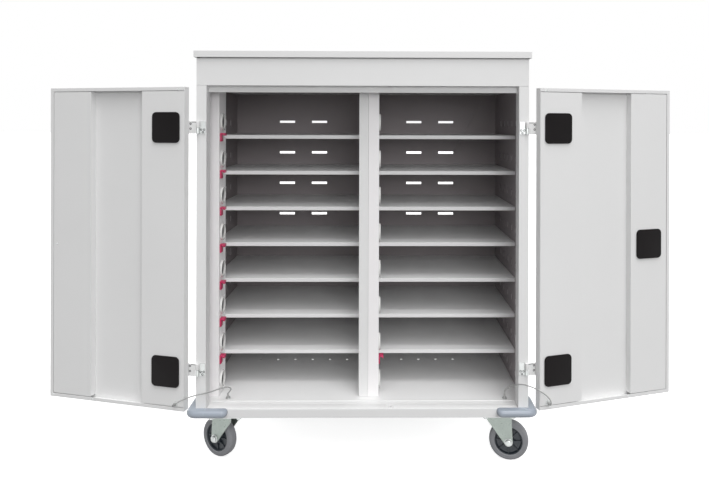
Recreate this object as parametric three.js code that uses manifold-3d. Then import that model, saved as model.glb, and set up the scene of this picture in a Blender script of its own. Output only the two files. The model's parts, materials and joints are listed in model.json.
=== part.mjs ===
// Laptop charging cart: a folded steel cabinet on four swivel casters, with two inset doors,
// two columns of eight levels, and a power channel with one round socket per level in each column.
// Millimetres, +Z up. X runs along the front, -Y is the front, and the origin lies on the floor
// under the middle of the cabinet. The doors stand open, as the cart is loaded.

import * as THREE from 'three';
import { mergeVertices } from 'three/addons/utils/BufferGeometryUtils.js';
import Module from 'manifold-3d';

const wasm = await Module();
wasm.setup();

// Cabinet
const BODY_WIDTH = 830;
const BODY_DEPTH = 500;
const CASTER_HEIGHT = 128;
const BASE_HEIGHT = 22;
const OPENING_HEIGHT = 807;
const LINTEL_HEIGHT = 67.8;
const OUTER_SHEET = 1.5;
const INNER_SHEET = 1.2;
const SEAT = 0.3;
const STILE_WIDTH = 25;
const STILE_DEPTH = 36;
const STILE_RETURN = 21;
const REAR_RETURN = 20;
const LINTEL_RETURN = 40;
const TOP_RETURN = 25;
const STOP_DEPTH = 22;
const STOP_HEIGHT = 16;

// Cap
const CAP_OVERHANG = 6;
const CAP_GAP = 2;
const CAP_HEIGHT = 16.2;
const CAP_RIM_INSET = 8;

// Back panel
const BACK_INSET = 46;
const BACK_SLOT_WIDTH = 48;
const BACK_SLOT_HEIGHT = 7;
const BACK_SLOT_SPACING = 102;
const BACK_SLOT_SHIFT = 10.4;
const BACK_SLOT_RISE = 37.5;
const GLAND_RADIUS = 13;
const GLAND_LENGTH = 9;
const GLAND_FROM_SIDE = 60;
const GLAND_RISE = 45;

// Columns and shelves
const SHELVES = 7;
const LOWEST_SHELF = 97.6;
const TOP_LEVEL = 125.9;
const SHELF_LIP = 10;
const SHELF_SETBACK = 148;
const LINER_SPACE = 3;
const PARTITION_WIDTH = 24;
const COLUMN_SETBACK = 75;
const VENTS_PER_LEVEL = 5;
const VENT_PITCH = 54.75;
const VENT_SETBACK = 143;
const VENT_WIDTH = 12;
const VENT_HEIGHT = 24;
const VENT_RISE = 33;

// Power channels, sockets and cable clips
const LEFT_CHANNEL_WIDTH = 35.5;
const RIGHT_CHANNEL_WIDTH = 28;
const SOCKET_RADIUS = 22;
const SOCKET_WALL = 3.5;
const SOCKET_PROUD = 4;
const SOCKET_DEPTH = 15;
const SOCKET_FLOOR = 2;
const SOCKET_SETBACK = 35;
const SOCKET_RISE = 35;
const HOOK_REACH = 12;
const HOOK_HEIGHT = 21;
const HOOK_DEPTH = 21;
const HOOK_WALL = 3;
const HOOK_TIP = 6;
const HOOK_SETBACK = 9;

// Floor
const FLOOR_HOLES = 6;
const FLOOR_HOLE_PITCH = 52;
const FLOOR_HOLE_RADIUS = 4;
const FLOOR_HOLE_SHIFT = 26.5;
const FLOOR_HOLE_SETBACK = 346;

// Doors
const DOOR_THICKNESS = 20;
const DOOR_SIDE_GAP = 1.5;
const DOOR_CENTRE_GAP = 3;
const DOOR_BOTTOM_GAP = 4.5;
const DOOR_TOP_GAP = 5;
const DOOR_SHEET = 1.2;
const DOOR_LIP = 9;
const LIP_GAP = 1.2;
const HINGE_STIFFENER_WIDTH = 117.5;
const FREE_STIFFENER_WIDTH = 110.8;
const LEFT_OPEN_ANGLE = 194.5;
const RIGHT_OPEN_ANGLE = 196.6;

// Hinges
const HINGE_INSET = 5;
const HINGE_PROUD = 5;
const HINGE_HEIGHT = 31;
const LOWER_HINGE_RISE = 95.5;
const UPPER_HINGE_DROP = 100;
const KNUCKLE_RADIUS = 4;
const PIN_RADIUS = 2;
const RUNNING_GAP = 0.3;
const LEAF_THICKNESS = 2;
const ARM_THICKNESS = 2.3;
const ARM_OFFSET = 0.1;
const ARM_ENTRY = 5.5;
const ARM_FOOT = 68;
const ARM_CLEARANCE = 2;

// Black covers on the door insides
const COVER_SIZE = 76;
const COVER_RADIUS = 11;
const COVER_THICKNESS = 4;
const COVER_BEVEL = 1;
const HINGE_COVER_SETBACK = 12.5;

// Rod lock in the right door
const LOCK_RISE = 551;
const LOCK_FROM_FREE_EDGE = 67;
const LOCK_WINDOW = 68;
const SPINDLE_RADIUS = 6;
const CAM_RADIUS = 33;
const CAM_THICKNESS = 3;
const CAM_SETBACK = 1.6;
const CAM_START = 10;
const ROD_TRAVEL = 16;
const LOCK_TURN = 90;
const SLOT_LEAD_IN = 20;
const SLOT_LEAD_OUT = 8;
const SLOT_POINTS = 12;
const CAM_PIN_RADIUS = 2.5;
const ROD_RADIUS = 4.5;
const ROD_SETBACK = 12.5;
const ROD_END_GAP = 1;
const STRIKE_RADIUS = 6.5;
const HANDLE_HUB_RADIUS = 13;
const HANDLE_STANDOFF = 12;
const HANDLE_LENGTH = 96;
const HANDLE_WIDTH = 18;
const HANDLE_THICKNESS = 8;

// Casters
const WHEEL_RADIUS = 50;
const WHEEL_WIDTH = 27;
const TYRE_SHOULDER = 5;
const RIM_RADIUS = 35;
const WEB_THICKNESS = 11;
const HUB_RADIUS = 14;
const HUB_LENGTH = 33;
const AXLE_RADIUS = 5;
const TRAIL = 32;
const SWIVEL_FROM_SIDE = 70;
const SWIVEL_FROM_FRONT = 58;
const RAIL_WIDTH = 100;
const RAIL_SHEET = 3;
const PLATE_LENGTH = 105;
const PLATE_WIDTH = 86;
const PLATE_THICKNESS = 3.5;
const RACE_RADIUS = 27;
const RACE_HEIGHT = 6;
const KINGPIN_RADIUS = 6;
const KINGPIN_HEAD_RADIUS = 10;
const KINGPIN_HEAD_HEIGHT = 4;
const CROWN_THICKNESS = 6;
const CROWN_FRONT = 33;
const CROWN_REAR = 40;
const CROWN_SKIRT = 9;
const FORK_SHEET = 3;
const FORK_BOSS_RADIUS = 11;
const AXLE_HEAD_RADIUS = 8.5;
const AXLE_HEAD_LENGTH = 5;
const FRONT_LEFT_TRAIL_ANGLE = 149.7;
const FRONT_RIGHT_TRAIL_ANGLE = -13.2;
const REAR_LEFT_TRAIL_ANGLE = 160;
const REAR_RIGHT_TRAIL_ANGLE = 12;

// Corner bumpers
const BUMPER_PROUD = 22;
const BUMPER_HEIGHT = 19;
const BUMPER_RISE = 6;
const BUMPER_ARM = 80;
const BUMPER_CORNER = 26;
const BUMPER_BEVEL = 5;

// Earth leads between the doors and the floor
const LEAD_RADIUS = 1.5;
const LEAD_STEP = 11;
const STUD_RADIUS = 4;
const STUD_HEIGHT = 4;
const DOOR_STUD_SETBACK = 23;
const DOOR_STUD_RISE = 172;

// Places worked out from the sizes above
const HALF = BODY_WIDTH / 2;
const FRONT = -BODY_DEPTH / 2;
const REAR = BODY_DEPTH / 2;
const FLOOR = CASTER_HEIGHT + BASE_HEIGHT;
const LINTEL = FLOOR + OPENING_HEIGHT;
const TOP = LINTEL + LINTEL_HEIGHT;
const CEILING = LINTEL - SEAT - INNER_SHEET;
const BACK_FACE = REAR - BACK_INSET;
const SKIN = HALF - OUTER_SHEET - SEAT;
const LINER_FACE = HALF - LINER_SPACE;
const HALF_PARTITION = PARTITION_WIDTH / 2;
const SHELF_PITCH = (OPENING_HEIGHT - LOWEST_SHELF - TOP_LEVEL) / (SHELVES - 1);
const SHELF_TOPS = Array.from({ length: SHELVES }, (_, i) => FLOOR + LOWEST_SHELF + i * SHELF_PITCH);
const LEVEL_FLOORS = [FLOOR, ...SHELF_TOPS];
const COLUMN_CENTRE = (LINER_FACE + HALF_PARTITION) / 2;
const HINGE_X = HALF - HINGE_INSET;
const HINGE_Y = FRONT - HINGE_PROUD;
const DOOR_EDGE = HINGE_X - (HALF - STILE_WIDTH - DOOR_SIDE_GAP);
const DOOR_FREE_EDGE = HINGE_X - DOOR_CENTRE_GAP / 2;
const DOOR_BOTTOM = FLOOR + DOOR_BOTTOM_GAP;
const DOOR_TOP = LINTEL - DOOR_TOP_GAP;
const DOOR_OUTER = HINGE_PROUD;
const DOOR_INNER = HINGE_PROUD + DOOR_THICKNESS;
const HINGE_RISES = [DOOR_BOTTOM + LOWER_HINGE_RISE, DOOR_TOP - UPPER_HINGE_DROP];
const LOCK_X = DOOR_FREE_EDGE - LOCK_FROM_FREE_EDGE;
const ROD_Y = DOOR_OUTER + ROD_SETBACK;
const CAM_Y = DOOR_OUTER + DOOR_SHEET + CAM_SETBACK;
const PLATE_TOP = CASTER_HEIGHT;
const CROWN_TOP = PLATE_TOP - PLATE_THICKNESS - RACE_HEIGHT - SEAT;

// Finishes
const finish = (color, roughness, metalness) => new THREE.MeshStandardMaterial({ color, roughness, metalness });
const POWDER_COAT = finish(0xdcdddd, 0.55, 0);
const BLACK_PLASTIC = finish(0x1d1d1f, 0.6, 0);
const ZINC = finish(0xb9bfb6, 0.35, 0.9);
const GREY_RUBBER = finish(0x6f7174, 0.8, 0);
const BUMPER_GREY = finish(0x9aa6b2, 0.7, 0);
const LEAD_GREY = finish(0x9b9d9c, 0.6, 0);

// Solids

function solidOf(geometry) {
  const bare = geometry.index ? geometry.toNonIndexed() : geometry.clone();
  bare.deleteAttribute('normal');
  bare.deleteAttribute('uv');
  const merged = mergeVertices(bare, 1e-4);
  return new wasm.Manifold(
    new wasm.Mesh({
      numProp: 3,
      vertProperties: merged.attributes.position.array,
      triVerts: new Uint32Array(merged.index.array),
    }),
  );
}

function geometryOf(solid) {
  const mesh = solid.getMesh();
  const geometry = new THREE.BufferGeometry();
  geometry.setAttribute('position', new THREE.BufferAttribute(new Float32Array(mesh.vertProperties), 3));
  geometry.setIndex(new THREE.BufferAttribute(new Uint32Array(mesh.triVerts), 1));
  geometry.computeVertexNormals();
  return geometry;
}

const join = (...solids) => solids.flat().reduce((a, b) => a.add(b));
const cut = (body, ...tools) => tools.flat().reduce((a, b) => a.subtract(b), body);

function block([x0, x1], [y0, y1], [z0, z1]) {
  const geometry = new THREE.BoxGeometry(Math.abs(x1 - x0), Math.abs(y1 - y0), Math.abs(z1 - z0));
  geometry.translate((x0 + x1) / 2, (y0 + y1) / 2, (z0 + z1) / 2);
  return solidOf(geometry);
}

// Outlines are lists of [across, up] points. A prism carries one along X, Y or Z: along X its points
// are [y, z], along Y they are [z, x], and along Z they are [x, y].
const AXES = {
  x: new THREE.Matrix4().set(0, 0, 1, 0, 1, 0, 0, 0, 0, 1, 0, 0, 0, 0, 0, 1),
  y: new THREE.Matrix4().set(0, 1, 0, 0, 0, 0, 1, 0, 1, 0, 0, 0, 0, 0, 0, 1),
  z: new THREE.Matrix4(),
};

function prism(points, axis, [from, to], bevel = 0) {
  const shape = new THREE.Shape(points.map(([a, b]) => new THREE.Vector2(a, b)));
  const geometry = new THREE.ExtrudeGeometry(shape, {
    depth: to - from - 2 * bevel,
    bevelEnabled: bevel > 0,
    bevelThickness: bevel,
    bevelSize: bevel,
    bevelOffset: -bevel,
    bevelSegments: 2,
  });
  geometry.translate(0, 0, from + bevel);
  geometry.applyMatrix4(AXES[axis]);
  return solidOf(geometry);
}

// A regular polygon round a centre, with a flat side facing down
function ring([a, b], radius, sides) {
  return Array.from({ length: sides }, (_, i) => {
    const turn = ((i + 0.5) / sides) * 2 * Math.PI;
    return [a + radius * Math.sin(turn), b - radius * Math.cos(turn)];
  });
}

// An arc of a round corner, both ends included
function arc([a, b], radius, fromDeg, toDeg, steps) {
  return Array.from({ length: steps + 1 }, (_, i) => {
    const turn = THREE.MathUtils.degToRad(fromDeg + ((toDeg - fromDeg) * i) / steps);
    return [a + radius * Math.cos(turn), b + radius * Math.sin(turn)];
  });
}

function roundedRectangle([a, b], width, height, radius, steps) {
  const w = width / 2 - radius;
  const h = height / 2 - radius;
  return [
    ...arc([a + w, b + h], radius, 0, 90, steps),
    ...arc([a - w, b + h], radius, 90, 180, steps),
    ...arc([a - w, b - h], radius, 180, 270, steps),
    ...arc([a + w, b - h], radius, 270, 360, steps),
  ];
}

// A slot with round ends, as tall or as wide as its two sizes say
function obround([a, b], width, height, steps) {
  const radius = Math.min(width, height) / 2;
  const w = width / 2 - radius;
  const h = height / 2 - radius;
  return width > height
    ? [...arc([a + w, b], radius, -90, 90, steps), ...arc([a - w, b], radius, 90, 270, steps)]
    : [...arc([a, b + h], radius, 0, 180, steps), ...arc([a, b - h], radius, 180, 360, steps)];
}

// The left-hand side of an open path, moved by a distance square to it, with mitred corners
function offsetPath(path, distance) {
  const normals = path.slice(1).map(([a, b], i) => {
    const run = [a - path[i][0], b - path[i][1]];
    const length = Math.hypot(...run);
    return [-run[1] / length, run[0] / length];
  });
  return path.map(([a, b], i) => {
    const before = normals[Math.max(i - 1, 0)];
    const after = normals[Math.min(i, normals.length - 1)];
    const share = distance / (1 + before[0] * after[0] + before[1] * after[1]);
    return [a + share * (before[0] + after[0]), b + share * (before[1] + after[1])];
  });
}

// The outline of a sheet folded along a path, with its thickness on the path's left-hand side
const foldedSheet = (path, thickness) => [...path, ...offsetPath(path, thickness).reverse()];

// The outline of a strip of one width along the middle of a path
const strip = (path, width) => [...offsetPath(path, -width / 2), ...offsetPath(path, width / 2).reverse()];

function addMesh(group, name, solid, material) {
  const mesh = new THREE.Mesh(geometryOf(solid), material);
  mesh.name = name;
  group.add(mesh);
  return mesh;
}

const cart = new THREE.Group();
const SIDES = [
  { name: 'left', sign: -1, openAngle: -LEFT_OPEN_ANGLE },
  { name: 'right', sign: 1, openAngle: RIGHT_OPEN_ANGLE },
];
const mirror = (points, sign) => points.map(([a, b]) => [sign * a, b]);

// Cabinet panels

// The cap is a shallow tray turned over, with a rim inside that stands on the body
function makeCap() {
  const top = TOP + CAP_GAP + CAP_HEIGHT;
  const x = HALF + CAP_OVERHANG;
  const y = REAR + CAP_OVERHANG;
  const rimX = HALF - CAP_RIM_INSET;
  const rimY = REAR - CAP_RIM_INSET;
  const skirt = cut(
    block([-x, x], [-y, y], [TOP + CAP_GAP, top]),
    block(
      [-x + OUTER_SHEET, x - OUTER_SHEET],
      [-y + OUTER_SHEET, y - OUTER_SHEET],
      [TOP, top - OUTER_SHEET],
    ),
  );
  const rim = cut(
    block([-rimX, rimX], [-rimY, rimY], [TOP, top - OUTER_SHEET / 2]),
    block(
      [-rimX + OUTER_SHEET, rimX - OUTER_SHEET],
      [-rimY + OUTER_SHEET, rimY - OUTER_SHEET],
      [TOP - 1, top - OUTER_SHEET],
    ),
  );
  return join(skirt, rim);
}

// The lintel is a channel open to the back, and its lower return takes the lock's upper rod
function makeLintel() {
  const path = [
    [FRONT + TOP_RETURN, TOP - SEAT],
    [FRONT, TOP - SEAT],
    [FRONT, LINTEL],
    [FRONT + LINTEL_RETURN, LINTEL],
  ];
  const channel = prism(foldedSheet(path, OUTER_SHEET), 'x', [-SKIN, SKIN]);
  const face = block([-HALF, HALF], [FRONT, FRONT + OUTER_SHEET], [LINTEL, TOP - SEAT]);
  return cut(join(channel, face), strikeHole([LINTEL - 1, LINTEL + OUTER_SHEET + 1]));
}

function strikeHole(span) {
  return prism(ring([HINGE_X - LOCK_X, FRONT + ROD_SETBACK], STRIKE_RADIUS, 12), 'z', span);
}

// A side panel is one folded sheet: the stile's box at the front, the outer skin and a rear return
function makeSidePanel(sign) {
  const inner = HALF - STILE_WIDTH;
  const skinPath = [
    [HALF, REAR],
    [HALF - REAR_RETURN, REAR],
  ];
  const lowerPath = [
    [inner + STILE_RETURN, FRONT + STILE_DEPTH],
    [inner, FRONT + STILE_DEPTH],
    [inner, FRONT],
    [HALF, FRONT],
    ...skinPath,
  ];
  const upperPath = [[HALF, FRONT + OUTER_SHEET + SEAT], ...skinPath];
  const lower = prism(mirror(foldedSheet(lowerPath, OUTER_SHEET), sign), 'z', [FLOOR + SEAT, LINTEL - SEAT]);
  const upper = prism(mirror(foldedSheet(upperPath, OUTER_SHEET), sign), 'z', [LINTEL - 1, TOP - SEAT]);
  const topReturn = block(
    [sign * (HALF - TOP_RETURN), sign * HALF],
    [FRONT + TOP_RETURN + SEAT, REAR - OUTER_SHEET / 2],
    [TOP - SEAT - OUTER_SHEET, TOP - SEAT],
  );
  const notch = block(
    [sign * (HALF - STILE_WIDTH - 1), sign * (HALF + 1)],
    [FRONT - 1, FRONT + OUTER_SHEET + SEAT],
    [LINTEL - SEAT, TOP],
  );
  return cut(join(lower, upper, topReturn), notch);
}

// The liner carries the shelf ends, with a row of upright vents over each level. On the left it has none
// behind the power channel.
function makeLiner(sign) {
  const from = FRONT + STILE_DEPTH + SEAT;
  const sheet = block(
    [sign * LINER_FACE, sign * (LINER_FACE + INNER_SHEET)],
    [from, BACK_FACE - SEAT],
    [FLOOR + SEAT, CEILING - SEAT],
  );
  const setbacks = Array.from({ length: VENTS_PER_LEVEL }, (_, i) => VENT_SETBACK + i * VENT_PITCH);
  const open = sign > 0 ? setbacks : setbacks.filter((setback) => setback > SHELF_SETBACK);
  const middle = sign * (LINER_FACE + INNER_SHEET / 2);
  const vents = LEVEL_FLOORS.flatMap((level) =>
    open.map((setback) => {
      const outline = obround([FRONT + setback, level + VENT_RISE], VENT_WIDTH, VENT_HEIGHT, 2);
      return prism(outline, 'x', [middle - INNER_SHEET, middle + INNER_SHEET]);
    }),
  );
  return cut(sheet, vents);
}

// The back panel is a shallow pan with its edges turned back, two slots per level in each column,
// and the closed cable gland
function makeBackPanel() {
  const rear = REAR - OUTER_SHEET - SEAT;
  const z0 = FLOOR + SEAT;
  const z1 = TOP - 2 * SEAT - OUTER_SHEET;
  const pan = cut(
    block([-SKIN, SKIN], [BACK_FACE, rear], [z0, z1]),
    block(
      [-SKIN + OUTER_SHEET, SKIN - OUTER_SHEET],
      [BACK_FACE + OUTER_SHEET, rear + 1],
      [z0 + OUTER_SHEET, z1 - OUTER_SHEET],
    ),
  );
  const slots = LEVEL_FLOORS.flatMap((level) =>
    [-1, 1].flatMap((column) =>
      [-0.5, 0.5].map((place) => {
        const x = column * (COLUMN_CENTRE - BACK_SLOT_SHIFT) + place * BACK_SLOT_SPACING;
        const z = level + BACK_SLOT_RISE;
        return block(
          [x - BACK_SLOT_WIDTH / 2, x + BACK_SLOT_WIDTH / 2],
          [BACK_FACE - 1, BACK_FACE + OUTER_SHEET + 1],
          [z - BACK_SLOT_HEIGHT / 2, z + BACK_SLOT_HEIGHT / 2],
        );
      }),
    ),
  );
  const glandCentre = [FLOOR + GLAND_RISE, HALF - GLAND_FROM_SIDE];
  const from = BACK_FACE + OUTER_SHEET / 2;
  const nut = prism(ring(glandCentre, GLAND_RADIUS, 6), 'y', [from, from + GLAND_LENGTH / 2]);
  const dome = prism(ring(glandCentre, GLAND_RADIUS * 0.75, 12), 'y', [from, from + GLAND_LENGTH]);
  return join(cut(pan, slots), nut, dome);
}

// The base is a tray turned over, with the floor's vent holes, the lower strike and the lead studs
function makeBase() {
  const tray = cut(
    block([-HALF, HALF], [FRONT, REAR], [CASTER_HEIGHT, FLOOR]),
    block(
      [-HALF + OUTER_SHEET, HALF - OUTER_SHEET],
      [FRONT + OUTER_SHEET, REAR - OUTER_SHEET],
      [CASTER_HEIGHT - 1, FLOOR - OUTER_SHEET],
    ),
  );
  const span = [FLOOR - OUTER_SHEET - 1, FLOOR + 1];
  const holes = [-1, 1].flatMap((column) =>
    Array.from({ length: FLOOR_HOLES }, (_, i) => {
      const x = column * COLUMN_CENTRE + FLOOR_HOLE_SHIFT + (i - (FLOOR_HOLES - 1) / 2) * FLOOR_HOLE_PITCH;
      return prism(ring([x, FRONT + FLOOR_HOLE_SETBACK], FLOOR_HOLE_RADIUS, 8), 'z', span);
    }),
  );
  const studs = Object.values(LEAD_ROUTES).map((route) => {
    const [x, y] = route.at(-1);
    return prism(ring([x, y], STUD_RADIUS, 8), 'z', [FLOOR - OUTER_SHEET / 2, FLOOR + STUD_HEIGHT]);
  });
  return join(cut(tray, holes, strikeHole(span)), studs);
}

// The ceiling closes the columns, and its lip, turned down, stops the doors
function makeCeiling() {
  const inner = HALF - STILE_WIDTH - SEAT;
  const from = FRONT + STOP_DEPTH;
  const behindStile = FRONT + STILE_DEPTH + SEAT;
  const span = [CEILING, CEILING + INNER_SHEET];
  const lip = block([-inner, inner], [from, from + INNER_SHEET], [LINTEL - STOP_HEIGHT, CEILING + INNER_SHEET]);
  const tongue = block([-inner, inner], [from, behindStile + 1], span);
  const sheet = block([-SKIN, SKIN], [behindStile, BACK_FACE - SEAT], span);
  return join(lip, tongue, sheet);
}

// The partition is a narrow channel open to the back
function makePartition() {
  const path = [
    [HALF_PARTITION, BACK_FACE - SEAT],
    [HALF_PARTITION, FRONT + COLUMN_SETBACK],
    [-HALF_PARTITION, FRONT + COLUMN_SETBACK],
    [-HALF_PARTITION, BACK_FACE - SEAT],
  ];
  const outline = [...path, ...offsetPath(path, -INNER_SHEET).reverse()];
  return prism(outline, 'z', [FLOOR + SEAT, CEILING - SEAT]);
}

// A shelf is a tray turned over, with lips at its front and its two ends
function makeShelf(sign, top) {
  const x0 = HALF_PARTITION + SEAT;
  const x1 = LINER_FACE - SEAT;
  const y0 = FRONT + SHELF_SETBACK;
  const y1 = BACK_FACE - SEAT;
  return cut(
    block([sign * x0, sign * x1], [y0, y1], [top - SHELF_LIP, top]),
    block(
      [sign * (x0 + INNER_SHEET), sign * (x1 - INNER_SHEET)],
      [y0 + INNER_SHEET, y1 + 1],
      [top - SHELF_LIP - 1, top - INNER_SHEET],
    ),
  );
}

// A power channel stands open towards what it is fixed to, on its left. Each socket is a cup let
// into its right side. The cable clips on that side, at the shelf fronts, are open downwards.
function makePowerChannel(left, width, hookShelves) {
  const right = left + width - SEAT;
  const y0 = FRONT + COLUMN_SETBACK;
  const y1 = FRONT + SHELF_SETBACK - SEAT;
  const path = [
    [left, y0],
    [right, y0],
    [right, y1],
    [left, y1],
  ];
  const channel = prism(foldedSheet(path, INNER_SHEET), 'z', [FLOOR + SEAT, CEILING - SEAT]);
  const rimFace = right + SOCKET_PROUD;
  const wellFloor = rimFace - SOCKET_DEPTH;
  const centres = LEVEL_FLOORS.map((level) => [y0 + SOCKET_SETBACK, level + SOCKET_RISE]);
  const cups = centres.map((centre) =>
    prism(ring(centre, SOCKET_RADIUS, 10), 'x', [wellFloor - SOCKET_FLOOR, rimFace]),
  );
  const wells = centres.map((centre) =>
    prism(ring(centre, SOCKET_RADIUS - SOCKET_WALL, 10), 'x', [wellFloor, rimFace + 1]),
  );
  const hookY = y0 + HOOK_SETBACK;
  const hooks = hookShelves.map((top) => {
    const high = top - SHELF_LIP / 2 + HOOK_HEIGHT / 2;
    const outer = right + HOOK_REACH;
    const outline = [
      [high, right - INNER_SHEET / 2],
      [high - HOOK_HEIGHT, right - INNER_SHEET / 2],
      [high - HOOK_HEIGHT, right + HOOK_WALL],
      [high - HOOK_WALL, right + HOOK_WALL],
      [high - HOOK_WALL, outer - HOOK_WALL],
      [high - HOOK_TIP, outer - HOOK_WALL],
      [high - HOOK_TIP, outer],
      [high, outer],
    ];
    return prism(outline, 'y', [hookY, hookY + HOOK_DEPTH]);
  });
  return cut(join(channel, cups, hooks), wells);
}

// Casters

const swivelX = HALF - SWIVEL_FROM_SIDE;
const swivelY = REAR - SWIVEL_FROM_FRONT;

// A caster rail is a channel under the floor that carries two top plates with their races and kingpins
function makeCasterRail(sign) {
  const x0 = swivelX - RAIL_WIDTH / 2;
  const x1 = swivelX + RAIL_WIDTH / 2;
  const top = FLOOR - OUTER_SHEET - SEAT;
  const path = [
    [x0, top],
    [x0, CASTER_HEIGHT],
    [x1, CASTER_HEIGHT],
    [x1, top],
  ];
  const outline = foldedSheet(path, RAIL_SHEET).map(([x, z]) => [z, sign * x]);
  const end = REAR - OUTER_SHEET - SEAT;
  const rail = prism(outline, 'y', [-end, end]);
  const heads = [-1, 1].map((row) => {
    const centre = [sign * swivelX, row * swivelY];
    const plate = block(
      [centre[0] - PLATE_WIDTH / 2, centre[0] + PLATE_WIDTH / 2],
      [centre[1] - PLATE_LENGTH / 2, centre[1] + PLATE_LENGTH / 2],
      [PLATE_TOP - PLATE_THICKNESS, PLATE_TOP + RAIL_SHEET / 2],
    );
    const raceTop = PLATE_TOP - PLATE_THICKNESS;
    const race = prism(ring(centre, RACE_RADIUS, 10), 'z', [raceTop - RACE_HEIGHT, raceTop + 1]);
    const headTop = CROWN_TOP - CROWN_THICKNESS - SEAT;
    const pin = prism(ring(centre, KINGPIN_RADIUS, 12), 'z', [headTop - 1, raceTop]);
    const pinHead = prism(ring(centre, KINGPIN_HEAD_RADIUS, 8), 'z', [headTop - KINGPIN_HEAD_HEIGHT, headTop]);
    return join(plate, race, pin, pinHead);
  });
  return join(rail, heads);
}

// A fork's crown turns on the kingpin, and its two cheeks taper to the axle, which is riveted in them.
// Local X is the way the wheel trails.
function makeFork() {
  const inner = HUB_LENGTH / 2 + SEAT;
  const outer = inner + FORK_SHEET;
  const crownBottom = CROWN_TOP - CROWN_THICKNESS;
  const crownOutline = [
    ...arc([CROWN_REAR - 8, outer - 8], 8, 0, 90, 2),
    ...arc([-CROWN_FRONT + outer, 0], outer, 90, 270, 6),
    ...arc([CROWN_REAR - 8, -outer + 8], 8, 270, 360, 2),
  ];
  const crown = prism(crownOutline, 'z', [crownBottom, CROWN_TOP]);
  const cheekOutline = [
    [CROWN_REAR, CROWN_TOP],
    [CROWN_REAR, crownBottom],
    ...arc([TRAIL, WHEEL_RADIUS], FORK_BOSS_RADIUS, 0, -138, 6),
    [-CROWN_FRONT + outer / 2, crownBottom - CROWN_SKIRT],
    [-CROWN_FRONT + outer / 2, CROWN_TOP],
  ].map(([x, z]) => [z, x]);
  const cheeks = [-1, 1].map((side) =>
    prism(cheekOutline, 'y', side > 0 ? [inner, outer] : [-outer, -inner]),
  );
  const centre = [WHEEL_RADIUS, TRAIL];
  const axle = prism(ring(centre, AXLE_RADIUS, 16), 'y', [-outer, outer]);
  const heads = [-1, 1].map((side) => {
    const span = side > 0 ? [outer - 0.5, outer + AXLE_HEAD_LENGTH] : [-outer - AXLE_HEAD_LENGTH, -outer + 0.5];
    return prism(ring(centre, AXLE_HEAD_RADIUS, 6), 'y', span);
  });
  const bore = prism(ring([0, 0], KINGPIN_RADIUS + 2 * SEAT, 16), 'z', [crownBottom - 1, CROWN_TOP + 1]);
  return cut(join(crown, cheeks, axle, heads), bore);
}

// A wheel is a rubber tyre moulded round a plastic centre with a hub, a web and a rim
function makeWheel() {
  const sides = 20;
  const reach = WHEEL_RADIUS / Math.cos(Math.PI / sides);
  const bore = AXLE_RADIUS + 2 * SEAT;
  const tread = WHEEL_WIDTH / 2;
  const half = [
    [bore, HUB_LENGTH / 2 - SEAT],
    [HUB_RADIUS, HUB_LENGTH / 2 - SEAT],
    [HUB_RADIUS + 2, WEB_THICKNESS / 2],
    [RIM_RADIUS - 3, WEB_THICKNESS / 2],
    [RIM_RADIUS, tread],
    [reach - TYRE_SHOULDER, tread],
    [reach, tread - TYRE_SHOULDER * 1.6],
  ];
  const below = half.map(([r, y]) => [r, -y]);
  const profile = [...below, ...half.reverse(), below[0]].map(([r, y]) => new THREE.Vector2(r, y));
  const geometry = new THREE.LatheGeometry(profile, sides, Math.PI / sides);
  return solidOf(geometry);
}

// A caster: the fork turns about the upright swivel axis, and the wheel about the axle
function addCaster(name, x, y, trailAngle) {
  const swivel = new THREE.Group();
  swivel.position.set(x, y, 0);
  swivel.rotation.z = THREE.MathUtils.degToRad(trailAngle);
  addMesh(swivel, `${name}_caster_fork`, makeFork(), ZINC);
  const wheel = addMesh(swivel, `${name}_caster_wheel`, makeWheel(), GREY_RUBBER);
  wheel.position.set(TRAIL, 0, WHEEL_RADIUS);
  cart.add(swivel);
}

// Corner bumpers: an L of soft plastic round each corner of the base
function makeBumper(signX, signY) {
  const x = HALF + SEAT;
  const y = REAR + SEAT;
  const outerX = x + BUMPER_PROUD;
  const outerY = y + BUMPER_PROUD;
  const endRadius = BUMPER_PROUD * 0.6;
  const outline = [
    ...arc([outerX - BUMPER_CORNER, outerY - BUMPER_CORNER], BUMPER_CORNER, 0, 90, 6),
    ...arc([x - BUMPER_ARM + endRadius, outerY - endRadius], endRadius, 90, 180, 3),
    [x - BUMPER_ARM, y],
    [x, y],
    [x, y - BUMPER_ARM],
    ...arc([outerX - endRadius, y - BUMPER_ARM + endRadius], endRadius, 270, 360, 3),
  ].map(([a, b]) => [signX * a, signY * b]);
  const z0 = CASTER_HEIGHT + BUMPER_RISE;
  const grown = prism(outline, 'z', [z0, z0 + BUMPER_HEIGHT], BUMPER_BEVEL);
  const seat = block(
    [signX * (x - 2 * BUMPER_ARM), signX * x],
    [signY * (y - 2 * BUMPER_ARM), signY * y],
    [z0 - 1, z0 + BUMPER_HEIGHT + 1],
  );
  return cut(grown, seat);
}

// Doors, drawn shut about their hinge axis: X runs from the axis to the free edge on the left door
// and is mirrored on the right one, and Y runs from the outside of the door to its inside.

const lockHoles = (sign, radius, span) =>
  prism(mirror(ring([LOCK_X, ROD_Y], radius, 12), -sign), 'z', span);

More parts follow.
